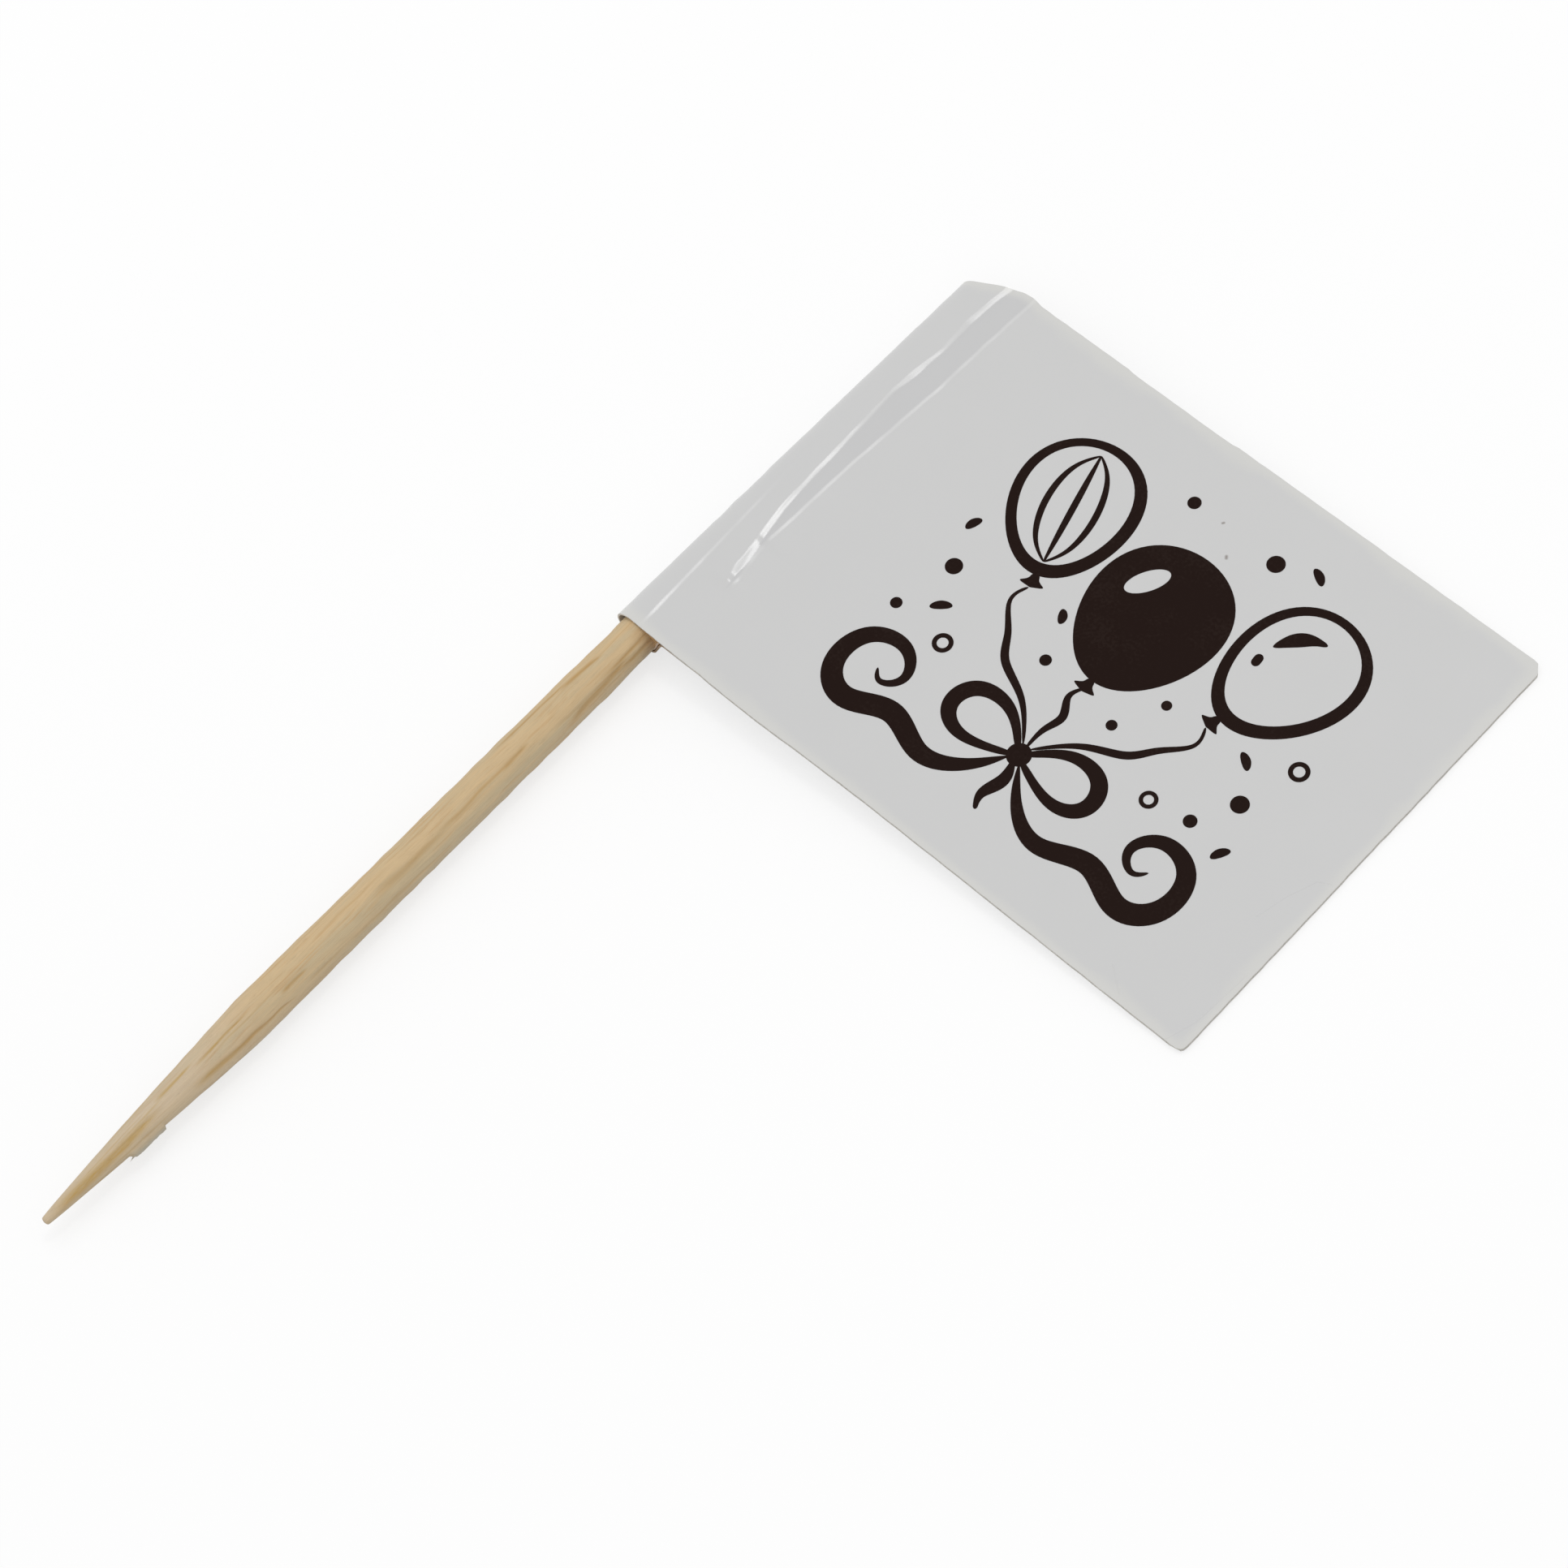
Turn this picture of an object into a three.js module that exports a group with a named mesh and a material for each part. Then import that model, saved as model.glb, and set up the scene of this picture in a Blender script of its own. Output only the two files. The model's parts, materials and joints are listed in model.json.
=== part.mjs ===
// A small paper flag on a round wooden pick, lying face up on a table.
// One strip of coated paper goes round the pick and is stuck to itself, so it makes
// a front leaf, a sleeve about the pick and a back leaf. The pick has a point at each
// end, and the upper one is hidden in the sleeve. Millimetres, +Z up.
//
// The flag is worked out in its own frame: X from the pick's axis to the fly edge,
// Y up the pick from its lower point, Z out of the printed face. At the end it is
// turned about the pick until the fly edge and the sleeve both touch the table.

import * as THREE from "three";

// Pick
const pickLength = 64.8;
const pickDiameter = 2.14;
const pointLength = 13.4;
const pointEndDiameter = 0.3;
const pointFullness = 0.8; // exponent of the point's outline: 1 is a straight cone

// Paper strip
const flagHeight = 25.4; // along the pick
const flyReach = 34.8; // from the pick's axis to the fly edge
const paperThickness = 0.1;
const topRecess = 0.2; // from the pick's hidden upper end to the flag's top edge

// Adhesive
const adhesiveThickness = 0.03;
const adhesiveInset = 0.15; // bare margin along the leaves' cut edges
const seatClearance = 0.01; // between two faces that are stuck together
const bondStart = -25; // degrees from the sleeve's crest, towards the fly
const bondEnd = 40; // degrees from the sleeve's crest, towards the fold

// Sleeve
const crestRise = 0.12; // how far the sleeve's crest stands above the front leaf
const foldSlack = 0.25; // play between the pick and the paper at the fold
const underSlack = 0.04; // play between the pick and the paper beneath it
const foldNarrowing = 0.36; // how far the fold draws in from the lower rim to the top
const looseDrop = 0.2; // how far the crest sinks over the pick's upper point
const junctionGapLow = 0.85; // from the sleeve to where the leaves meet, at the lower rim
const junctionGapHigh = 1.8; // the same at the top edge
const liftAngle = -20; // where the paper leaves the pick's side, in degrees from +X
const liftPull = 0.9; // pull of the bend as it leaves the pick
const tuckPull = 0.35; // pull of the bend where the leaves meet

// Pressed valley beside the sleeve, and the trimmed corner above the fold
const valleyStart = 4.8; // above the lower rim
const valleyOpening = 6; // height over which it opens from a point to its full width
const valleyDepth = 0.1;
const valleyNearInset = 0.2; // from the pick's side in to the crease beside the crest
const valleyFarInset = 0.45; // from where the leaves meet in to the outer crease
const cornerTrim = 1.0;
const cornerTrimWidth = 4.3;
const cornerTrimHeight = 5;

// Resolution
const pickSides = 48;
const pointSteps = 10;
const bendSteps = 8;
const stations = 12;

// Derived sizes
const pickRadius = pickDiameter / 2;
const flagTop = pickLength + topRecess;
const flagBottom = flagTop - flagHeight;
const upperPointStart = pickLength - pointLength;
const bondRadius = pickRadius + seatClearance;
const crest = bondRadius + adhesiveThickness + seatClearance + paperThickness;
const leafFront = crest - crestRise;
const filmBottom = leafFront - paperThickness - seatClearance - adhesiveThickness;
const leafBack = filmBottom - seatClearance - paperThickness;
const wrapRadius = pickRadius + underSlack + paperThickness;
const lift = THREE.MathUtils.degToRad(liftAngle);
const foldReach = pickRadius + foldSlack + paperThickness;

const wood = new THREE.MeshStandardMaterial({ color: 0xc8b088, roughness: 0.75, metalness: 0 });
const paper = new THREE.MeshStandardMaterial({ color: 0xcecece, roughness: 0.35, metalness: 0 });
const filmGlue = new THREE.MeshStandardMaterial({ color: 0xe4e0d2, roughness: 0.3, metalness: 0 });
const pickGlue = new THREE.MeshStandardMaterial({ color: 0xe8dcc0, roughness: 0.3, metalness: 0 });

// A ramp from 0 to 1 that leaves and arrives level.
function ease(from, to, value) {
  return THREE.MathUtils.smoothstep(value, from, to);
}

// The pick's radius at a distance from one of its ends.
function pointRadius(distance) {
  const share = Math.min(distance / pointLength, 1);
  const endRadius = pointEndDiameter / 2;
  return endRadius + (pickRadius - endRadius) * share ** pointFullness;
}

// A round pick with a blunt-ended point at each end, turned about Y.
function makePick() {
  const outline = [new THREE.Vector2(0, 0)];
  for (let i = 0; i <= pointSteps; i++) {
    const distance = pointLength * (i / pointSteps) ** 1.3;
    outline.push(new THREE.Vector2(pointRadius(distance), distance));
  }
  const upper = outline.map((p) => new THREE.Vector2(p.x, pickLength - p.y)).reverse();
  return new THREE.LatheGeometry([...outline, ...upper], pickSides);
}

// The handle of a cubic curve that follows an arc, as a share of the arc's radius.
function arcHandle(angle) {
  return (4 / 3) * Math.tan(angle / 4);
}

// Where the two leaves meet, measured from the pick's axis, at a share of the flag's height.
function junctionAt(share) {
  return wrapRadius + THREE.MathUtils.lerp(junctionGapLow, junctionGapHigh, share);
}

// The paper's outer face cut across the pick at a share of the flag's height. It runs from
// the fly edge along the front leaf, over the valley and round the sleeve, hugs the pick from
// below as far as its side, and goes back along the back leaf. x is across the flag and y stands for the height above the pick's axis.
function outerFace(share) {
  const height = flagBottom + share * flagHeight;
  const top = crest - looseDrop * ease(upperPointStart, flagTop, height);
  const fold = foldReach - foldNarrowing * share;
  const quarterArc = arcHandle(Math.PI / 2);
  const junction = junctionAt(share);
  const valleyFoot = flagBottom + valleyStart;
  const open = ease(valleyFoot, valleyFoot + valleyOpening, height);
  const dip = valleyDepth * open;
  const farCrease = junction - valleyFarInset;
  const nearCrease = THREE.MathUtils.lerp(farCrease, pickRadius - valleyNearInset, 0.4 + 0.6 * open);
  const floor = (nearCrease + farCrease) / 2;
  const nearHeight = leafFront + ((top - leafFront) / 2) * open;
  const crestHandle = nearCrease / 2;
  const rise = new THREE.Vector2(-Math.sin(lift), Math.cos(lift));
  const lifted = new THREE.Vector2(rise.y, -rise.x).multiplyScalar(wrapRadius);
  const wrapHandle = arcHandle(lift + Math.PI / 2) * wrapRadius;

  const path = new THREE.Path();
  path.moveTo(flyReach, leafFront);
  path.lineTo(farCrease, leafFront);
  path.bezierCurveTo(
    farCrease - (farCrease - floor) / 2, leafFront - dip,
    floor + (farCrease - floor) / 2, leafFront - dip,
    floor, leafFront - dip,
  );
  path.bezierCurveTo(
    floor - (floor - nearCrease) / 2, leafFront - dip,
    nearCrease + (floor - nearCrease) / 2, leafFront - dip,
    nearCrease, nearHeight,
  );
  path.bezierCurveTo(nearCrease - crestHandle, top, crestHandle, top, 0, top);
  path.bezierCurveTo(-fold * quarterArc, top, -fold, top * quarterArc, -fold, 0);
  path.bezierCurveTo(
    -fold, -wrapRadius * quarterArc,
    -fold * quarterArc, -wrapRadius,
    0, -wrapRadius,
  );
  path.bezierCurveTo(
    wrapHandle, -wrapRadius,
    lifted.x - rise.x * wrapHandle, lifted.y - rise.y * wrapHandle,
    lifted.x, lifted.y,
  );
  path.bezierCurveTo(
    lifted.x + rise.x * liftPull, lifted.y + rise.y * liftPull,
    junction - tuckPull, leafBack,
    junction, leafBack,
  );
  path.lineTo(flyReach, leafBack);
  return path.getPoints(bendSteps);
}

// The inner face lies one paper thickness inside the outer one, along its normals.
function innerFace(outer) {
  return outer.map((point, i) => {
    const before = outer[Math.max(i - 1, 0)];
    const after = outer[Math.min(i + 1, outer.length - 1)];
    const along = after.clone().sub(before).normalize();
    return new THREE.Vector2(point.x - along.y * paperThickness, point.y + along.x * paperThickness);
  });
}

// How far the top edge falls at a distance from the pick's axis, growing towards the fold.
function trimAt(x, share) {
  const across = THREE.MathUtils.clamp(1 - (x + foldReach - foldNarrowing) / cornerTrimWidth, 0, 1);
  const up = THREE.MathUtils.clamp(1 - (flagHeight * (1 - share)) / cornerTrimHeight, 0, 1);
  return cornerTrim * across ** 2 * up;
}

// The whole strip as one closed sheet: a grid of its outer face, a grid of its inner face
// and the cut edges between them.
function makePaper() {
  const positions = [];
  const index = [];
  let width = 0;
  for (let j = 0; j <= stations; j++) {
    const share = j / stations;
    const outer = outerFace(share);
    width = outer.length;
    for (const point of [...outer, ...innerFace(outer)]) {
      const y = flagBottom + share * flagHeight - trimAt(point.x, share);
      positions.push(point.x, y, point.y);
    }
  }
  const at = (station, side, i) => (station * 2 + side) * width + i;
  const quad = (a, b, c, d) => index.push(a, b, c, a, c, d);
  for (let j = 0; j < stations; j++) {
    for (let i = 0; i < width - 1; i++) {
      quad(at(j, 0, i), at(j + 1, 0, i), at(j + 1, 0, i + 1), at(j, 0, i + 1));
      quad(at(j, 1, i), at(j, 1, i + 1), at(j + 1, 1, i + 1), at(j + 1, 1, i));
    }
    const last = width - 1;
    quad(at(j, 0, 0), at(j, 1, 0), at(j + 1, 1, 0), at(j + 1, 0, 0));
    quad(at(j, 0, last), at(j + 1, 0, last), at(j + 1, 1, last), at(j, 1, last));
  }
  for (let i = 0; i < width - 1; i++) {
    quad(at(0, 0, i), at(0, 0, i + 1), at(0, 1, i + 1), at(0, 1, i));
    quad(at(stations, 0, i), at(stations, 1, i), at(stations, 1, i + 1), at(stations, 0, i + 1));
  }
  const geometry = new THREE.BufferGeometry();
  geometry.setAttribute("position", new THREE.Float32BufferAttribute(positions, 3));
  geometry.setIndex(index);
  geometry.computeVertexNormals();
  return geometry;
}

// The film that holds the two leaves together, from where they meet to the fly edge.
function makeLeafAdhesive() {
  const low = flagBottom + adhesiveInset;
  const high = flagTop - adhesiveInset;
  const fly = flyReach - adhesiveInset;
  const outline = new THREE.Shape();
  outline.moveTo(junctionAt(0) + adhesiveInset, low);
  outline.lineTo(fly, low);
  outline.lineTo(fly, high);
  outline.lineTo(junctionAt(1) + adhesiveInset, high);
  outline.closePath();
  const film = new THREE.ExtrudeGeometry(outline, { depth: adhesiveThickness, bevelEnabled: false });
  return film.translate(0, 0, filmBottom);
}

// The adhesive on the paper's inner face where the sleeve lies on the pick's round shank.
function makePickAdhesive() {
  const start = THREE.MathUtils.degToRad(90 + bondStart);
  const end = THREE.MathUtils.degToRad(90 + bondEnd);
  const outline = new THREE.Shape();
  outline.absarc(0, 0, bondRadius + adhesiveThickness, start, end, false);
  outline.absarc(0, 0, bondRadius, end, start, true);
  outline.closePath();
  const low = flagBottom + adhesiveInset;
  const strip = new THREE.ExtrudeGeometry(outline, {
    depth: upperPointStart - low,
    bevelEnabled: false,
    curveSegments: bendSteps,
  });
  return strip.rotateX(Math.PI / 2).translate(0, upperPointStart, 0);
}

// The turn about the pick that brings the fly edge down to the table with the sleeve.
function restAngle() {
  const slopes = outerFace(0)
    .filter((point) => point.x < junctionAt(0))
    .map((point) => Math.atan2(leafBack - point.y, flyReach - point.x));
  return Math.max(...slopes);
}

function named(name, geometry, material) {
  const mesh = new THREE.Mesh(geometry, material);
  mesh.name = name;
  return mesh;
}

const flag = new THREE.Group();
flag.add(named("wooden_pick", makePick(), wood));
flag.add(named("paper_flag", makePaper(), paper));
flag.add(named("leaf_adhesive", makeLeafAdhesive(), filmGlue));
flag.add(named("pick_adhesive", makePickAdhesive(), pickGlue));
flag.rotation.y = restAngle();
flag.updateMatrixWorld(true);

// The origin is on the table, below the middle of the object's outline.
const extent = new THREE.Box3().setFromObject(flag, true);
const middle = extent.getCenter(new THREE.Vector3());
flag.position.set(-middle.x, -middle.y, -extent.min.z);

const flagPick = new THREE.Group();
flagPick.add(flag);

export default flagPick;
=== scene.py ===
# %% [markdown]
# # A paper flag on a wooden pick
# The object is a party pick. One strip of gloss-coated paper goes round a wooden cocktail
# stick and is stuck to itself, which makes a front leaf, a sleeve and a back leaf. A packed
# model already fixes the size and place of every piece. These cells dress it: finer meshes
# and a finish for each surface, in the same frame. Lengths are millimetres until the last
# moment, when one function turns them into metres.

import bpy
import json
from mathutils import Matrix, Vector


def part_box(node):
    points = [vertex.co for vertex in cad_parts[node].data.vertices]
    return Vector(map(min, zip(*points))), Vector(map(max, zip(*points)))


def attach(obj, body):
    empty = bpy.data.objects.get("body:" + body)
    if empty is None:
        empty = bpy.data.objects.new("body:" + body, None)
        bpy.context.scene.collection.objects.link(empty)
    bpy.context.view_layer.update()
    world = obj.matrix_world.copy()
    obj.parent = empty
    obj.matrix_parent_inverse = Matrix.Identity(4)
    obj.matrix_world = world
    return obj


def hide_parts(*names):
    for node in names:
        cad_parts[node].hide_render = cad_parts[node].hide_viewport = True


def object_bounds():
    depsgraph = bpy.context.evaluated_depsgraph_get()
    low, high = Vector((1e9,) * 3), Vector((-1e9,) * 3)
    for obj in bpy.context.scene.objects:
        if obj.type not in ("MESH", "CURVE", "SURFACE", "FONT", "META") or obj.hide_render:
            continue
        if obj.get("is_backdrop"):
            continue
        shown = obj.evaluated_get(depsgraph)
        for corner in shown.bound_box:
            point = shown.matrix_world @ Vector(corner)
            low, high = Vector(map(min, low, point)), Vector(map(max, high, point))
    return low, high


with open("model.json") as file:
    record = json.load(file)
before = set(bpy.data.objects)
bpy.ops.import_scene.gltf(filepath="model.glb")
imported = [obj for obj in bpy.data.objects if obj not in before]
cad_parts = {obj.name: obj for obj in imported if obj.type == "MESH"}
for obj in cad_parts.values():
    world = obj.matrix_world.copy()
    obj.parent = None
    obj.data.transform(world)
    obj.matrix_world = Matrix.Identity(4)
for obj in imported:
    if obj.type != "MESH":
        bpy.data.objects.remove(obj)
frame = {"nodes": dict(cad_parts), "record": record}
cad_low, cad_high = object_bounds()
print("packed model from", list(cad_low), "to", list(cad_high))

# %% [markdown]
# The flag lies on a table and leans by a few degrees, because the sleeve is thicker than
# the leaves. Shapes are easier to think about in the flag's own frame: X from the pick to
# the fly edge, Y up the pick from its bare point, Z out of the printed face. The packed
# model says where that frame is: the pick's box gives its axis, and the two flat faces
# that the record names give the lean and the height of both leaves.

# %% Find the flag's own frame
import json
import math

import bpy
import numpy as np
from mathutils import Quaternion, Vector

MM = 0.001
pick_low, pick_high = (np.array(corner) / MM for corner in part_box("wooden_pick"))
paper_low, paper_high = (np.array(corner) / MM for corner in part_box("paper_flag"))
faces_on_record = {mount["name"]: mount for mount in frame["record"]["mounts"]}
lean = math.asin(faces_on_record["front_face"]["axis"][0])
pick_foot = (pick_low + pick_high) / 2
pick_foot[1] = pick_low[1]


def to_row(points):
    """Points of the flag's own frame, in mm, as metres in the model's frame: a turn by the
    lean about the pick's axis, then a move to the pick's foot."""
    x, y, z = np.moveaxis(np.asarray(points, float), -1, 0)
    turned = [x * math.cos(lean) + z * math.sin(lean), y, z * math.cos(lean) - x * math.sin(lean)]
    return (np.stack(turned, axis=-1) + pick_foot) * MM


def from_row(points):
    """The way back: metres in the model's frame as mm in the flag's own frame."""
    x, y, z = np.moveaxis(np.asarray(points, float) / MM - pick_foot, -1, 0)
    return np.stack([x * math.cos(lean) - z * math.sin(lean), y,
                     x * math.sin(lean) + z * math.cos(lean)], axis=-1)


pick_length = pick_high[1] - pick_low[1]
flag_bottom = paper_low[1] - pick_low[1]
flag_top = paper_high[1] - pick_low[1]
leaf_front = from_row(faces_on_record["front_face"]["pos_m"])[2]
leaf_back = from_row(faces_on_record["back_face"]["pos_m"])[2]
fly_reach = (paper_high[0] - pick_foot[0] - leaf_front * math.sin(lean)) / math.cos(lean)
print(f"lean {math.degrees(lean):.2f} degrees, pick {pick_length:.2f} long, fly edge at {fly_reach:.2f}")
print(f"flag from {flag_bottom:.2f} to {flag_top:.2f} up the pick")
print(f"leaves at {leaf_back:.3f} and {leaf_front:.3f}")

# %% [markdown]
# The camera looks down on the table from beyond the flag's lower edge, turned so that the
# pick runs from corner to corner of the picture. It is set the way a photographer would
# say it: the spot on the table that it points at, how far away it is, from which side and
# how high, how far it is rolled, and its lens.

# %% Place the camera
camera_target = np.array([-6.01, 5.92, 0.0])
camera_distance = 233.57
camera_azimuth = math.radians(61.47)
camera_elevation = math.radians(59.09)
camera_roll = math.radians(20.28)
camera_lens = 113.71

away = np.array([
    math.sin(camera_azimuth) * math.cos(camera_elevation),
    -math.cos(camera_azimuth) * math.cos(camera_elevation),
    math.sin(camera_elevation),
])
camera = bpy.data.objects.new("camera", bpy.data.cameras.new("camera"))
bpy.context.scene.collection.objects.link(camera)
camera.data.lens = camera_lens
camera.data.clip_start = 0.01
camera.location = (camera_target + away * camera_distance) * MM
camera.rotation_mode = "QUATERNION"
camera.rotation_quaternion = (
    Vector(-away).to_track_quat("-Z", "Y") @ Quaternion((0, 0, 1), -camera_roll)
)
bpy.context.scene.camera = camera
bpy.context.scene.view_settings.view_transform = "Standard"
print("camera stands at", [round(v, 4) for v in camera.location])

# %% [markdown]
# Materials are node trees. A short helper that adds a node, sets its properties and plugs
# or fills its sockets keeps each tree readable as a few nested lines. The steps that come
# back most, arithmetic on values and on vectors, get a helper each.

# %% Helpers for nodes
def fill_sockets(tree, sockets, values):
    """Gives each named or numbered socket another node's output, or a value to hold."""
    for name, value in values.items():
        if isinstance(value, bpy.types.NodeSocket):
            tree.links.new(value, sockets[name])
        else:
            sockets[name].default_value = value


def add_node(tree, kind, inputs=None, **settings):
    """Adds a node. `settings` are its properties, and `inputs` says what its sockets get."""
    node = tree.nodes.new("ShaderNode" + kind)
    for name, value in settings.items():
        setattr(node, name, value)
    fill_sockets(tree, node.inputs, inputs or {})
    return node


def math_node(tree, operation, *values, **settings):
    """One arithmetic step on values, which are sockets or numbers."""
    return add_node(tree, "Math", dict(enumerate(values)), operation=operation, **settings).outputs[0]


def vector_node(tree, operation, *values, scale=None):
    """One step on vectors. A length, a distance or a dot product comes out as a number."""
    inputs = dict(enumerate(values))
    if scale is not None:
        inputs["Scale"] = scale
    outputs = add_node(tree, "VectorMath", inputs, operation=operation).outputs
    return outputs["Value" if operation in ("LENGTH", "DISTANCE", "DOT_PRODUCT") else "Vector"]


# %% [markdown]
# Nearly every finish here is built from three steps: a noise, spread from the narrow range
# in which its values lie onto the range that is wanted, and a mix of two colours with the
# result as the share.

# %% Helpers for colours and patterns
def mixed(tree, share, first, second):
    """A colour between two others: the first at share 0, the second at share 1. In a Mix
    node, the sockets numbered 6 and 7 take the colours and output 2 gives the result."""
    inputs = {"Factor": share}
    for number, value in ((6, first), (7, second)):
        inputs[number] = value if isinstance(value, bpy.types.NodeSocket) else (*value, 1)
    return add_node(tree, "Mix", inputs, data_type="RGBA", clamp_factor=True).outputs[2]


def map_range(tree, value, low, high, to_low=0.0, to_high=1.0):
    """A value spread smoothly from the range low to high onto another range, and held."""
    inputs = {"Value": value, "From Min": low, "From Max": high, "To Min": to_low, "To Max": to_high}
    return add_node(tree, "MapRange", inputs, interpolation_type="SMOOTHSTEP").outputs["Result"]


def noise_node(tree, place, detail, roughness=0.5):
    """Noise with about one patch to each unit of the place that it reads."""
    inputs = {"Vector": place, "Scale": 1.0, "Detail": detail, "Roughness": roughness}
    return add_node(tree, "TexNoise", inputs).outputs


# %% [markdown]
# Effects that several materials share are node groups, each built once and placed in every
# material with its own values. A group has its own tree, and its sockets are declared on
# the tree's interface.

# %% Helpers for groups
def new_group(name, inputs, outputs):
    """An empty node group. `inputs` maps a socket's name to its kind and default value, and
    `outputs` maps a name to a kind. Returns the tree, the group's inputs and a function
    that plugs its outputs."""
    tree = bpy.data.node_groups.new(name, "ShaderNodeTree")
    for label, (kind, default) in inputs.items():
        socket = tree.interface.new_socket(label, in_out="INPUT", socket_type="NodeSocket" + kind)
        if default is not None:
            socket.default_value = default
    for label, kind in outputs.items():
        tree.interface.new_socket(label, in_out="OUTPUT", socket_type="NodeSocket" + kind)
    group_inputs = tree.nodes.new("NodeGroupInput").outputs
    group_output = tree.nodes.new("NodeGroupOutput")
    return tree, group_inputs, lambda values: fill_sockets(tree, group_output.inputs, values)


def use_group(tree, group, inputs):
    """Places a node group in a material, fills its sockets and returns its outputs."""
    return add_node(tree, "Group", inputs, node_tree=group).outputs


# %% [markdown]
# Patterns follow a place on the flag. The pieces sit at the origin with their places in
# their meshes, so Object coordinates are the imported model's, and a Mapping node turns them
# back into the flag's own frame. What changes over a surface in its own way comes from a
# mask that the mesh holds. Every finish of the object ends in the same two nodes, a bump
# and the Principled BSDF.

# %% Helpers for materials
def new_material(name):
    """A material with only its output node. Returns the material, its tree and a function
    that plugs a shader into it."""
    material = bpy.data.materials.new(name)
    material.use_nodes = True
    tree = material.node_tree
    tree.nodes.clear()
    output = tree.nodes.new("ShaderNodeOutputMaterial")
    return material, tree, lambda shader: tree.links.new(shader, output.inputs["Surface"])


def flag_coordinates(tree):
    """Object coordinates turned back into the flag's own frame, in mm, by one Mapping node."""
    inputs = {"Vector": add_node(tree, "TexCoord").outputs["Object"], "Location": tuple(pick_foot * MM),
              "Rotation": (0, lean, 0), "Scale": (MM, MM, MM)}
    return add_node(tree, "Mapping", inputs, vector_type="TEXTURE").outputs["Vector"]


def mesh_mask(tree, label):
    """A mask that the mesh holds as an attribute."""
    return add_node(tree, "Attribute", attribute_name=label).outputs["Fac"]


def surface_shader(tree, height, bump_strength, bump_distance, inputs):
    """The Principled BSDF over a bump. The distance is how high, in metres, a height of 1 is."""
    bump = add_node(tree, "Bump", {"Height": height, "Strength": bump_strength, "Distance": bump_distance})
    return add_node(tree, "BsdfPrincipled", {"Normal": bump.outputs[0], **inputs}).outputs[0]

# %% [markdown]
# The table is a plain pale floor, like paper roll in a small studio. It has to read as
# almost white and still show where the object touches it. So rays that come straight from
# the camera, or by way of a gloss, see mostly an even white and a little of the floor's own
# shading, and with distance only the white, which hides the floor's far edge. All other
# rays see an ordinary pale surface that bounces light back up under the flag.

# %% Lay the floor
floor_half = 3.0
floor_pale = (0.8, 0.8, 0.8, 1)
floor_bright = (0.97, 0.97, 0.97, 1)
shading_share = 0.3
shading_reach = (0.05, 0.14)

floor_corners = [(-floor_half, -floor_half, 0), (floor_half, -floor_half, 0),
                 (floor_half, floor_half, 0), (-floor_half, floor_half, 0)]
floor_mesh = bpy.data.meshes.new("floor")
floor_mesh.from_pydata(floor_corners, [], [(0, 1, 2, 3)])
floor = bpy.data.objects.new("floor", floor_mesh)
bpy.context.scene.collection.objects.link(floor)
floor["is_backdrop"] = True


def seen_directly(tree):
    """1 for rays that show a background: from the camera, off a gloss or through glass."""
    path = add_node(tree, "LightPath").outputs
    gloss = math_node(tree, "MAXIMUM", path["Is Glossy Ray"], path["Is Transmission Ray"])
    return math_node(tree, "MAXIMUM", path["Is Camera Ray"], gloss)


floor_material, tree, finish_material = new_material("pale_floor")
distance = vector_node(tree, "LENGTH", add_node(tree, "TexCoord").outputs["Object"])
shading = map_range(tree, distance, *shading_reach, shading_share, 0.0)
plain = add_node(tree, "BsdfDiffuse", {"Color": floor_pale}).outputs[0]
shaded = add_node(tree, "BsdfDiffuse", {"Color": floor_bright}).outputs[0]
white = add_node(tree, "Emission", {"Strength": 1.0}).outputs[0]
backdrop = add_node(tree, "MixShader", {0: shading, 1: white, 2: shaded}).outputs[0]
finish_material(add_node(tree, "MixShader", {0: seen_directly(tree), 1: plain, 2: backdrop}).outputs[0])
floor_mesh.materials.append(floor_material)
print("floor is", 2 * floor_half, "m wide")

# %% [markdown]
# The light is a pale room with one large soft lamp over the fold side and one small lamp
# high up. The room and the large lamp give the even level at which a colour looks as it is
# written. The small lamp hardly adds light, but its reflection is what draws the thin
# bright lines along the sleeve: a coated paper mirrors it wherever the surface tips by
# about ten degrees from the leaf. Its direction follows from that: the mirror image of
# the camera's direction about a normal tipped by that angle.

# %% Light the object
room_level = 0.78
sleeve_spot = to_row([1.0, 54.0, 1.2])
lamp_distance = 0.6
window_direction, window_width, window_share = (-0.45, 0.15, 0.88), 0.5, 0.175
glint_tip = math.radians(10.5)
glint_width, glint_length, glint_share = 0.07, 0.12, 0.085

world = bpy.data.worlds.new("room")
bpy.context.scene.world = world
world.use_nodes = True
tree = world.node_tree
room_strength = math_node(tree, "MULTIPLY_ADD", seen_directly(tree), 1 - room_level, room_level)
fill_sockets(tree, tree.nodes["Background"].inputs, {"Color": (1, 1, 1, 1), "Strength": room_strength})


def soft_lamp(name, direction, width, length, share):
    """An oval lamp that points at the sleeve from a direction given in the flag's own frame.
    `share` is the brightness that it alone gives a white surface facing it: a lamp of
    power P lights it with P / pi d^2, and white needs pi."""
    turned = to_row(direction) - to_row([0, 0, 0])
    turned /= np.linalg.norm(turned)
    lamp = bpy.data.lights.new(name, "AREA")
    lamp.shape = "ELLIPSE"
    lamp.size = width
    lamp.size_y = length
    lamp.energy = share * (math.pi * lamp_distance) ** 2
    holder = bpy.data.objects.new(name, lamp)
    bpy.context.scene.collection.objects.link(holder)
    holder.location = sleeve_spot + turned * lamp_distance
    holder.rotation_mode = "QUATERNION"
    holder.rotation_quaternion = Vector(-turned).to_track_quat("-Z", "Y")
    return holder


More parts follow.
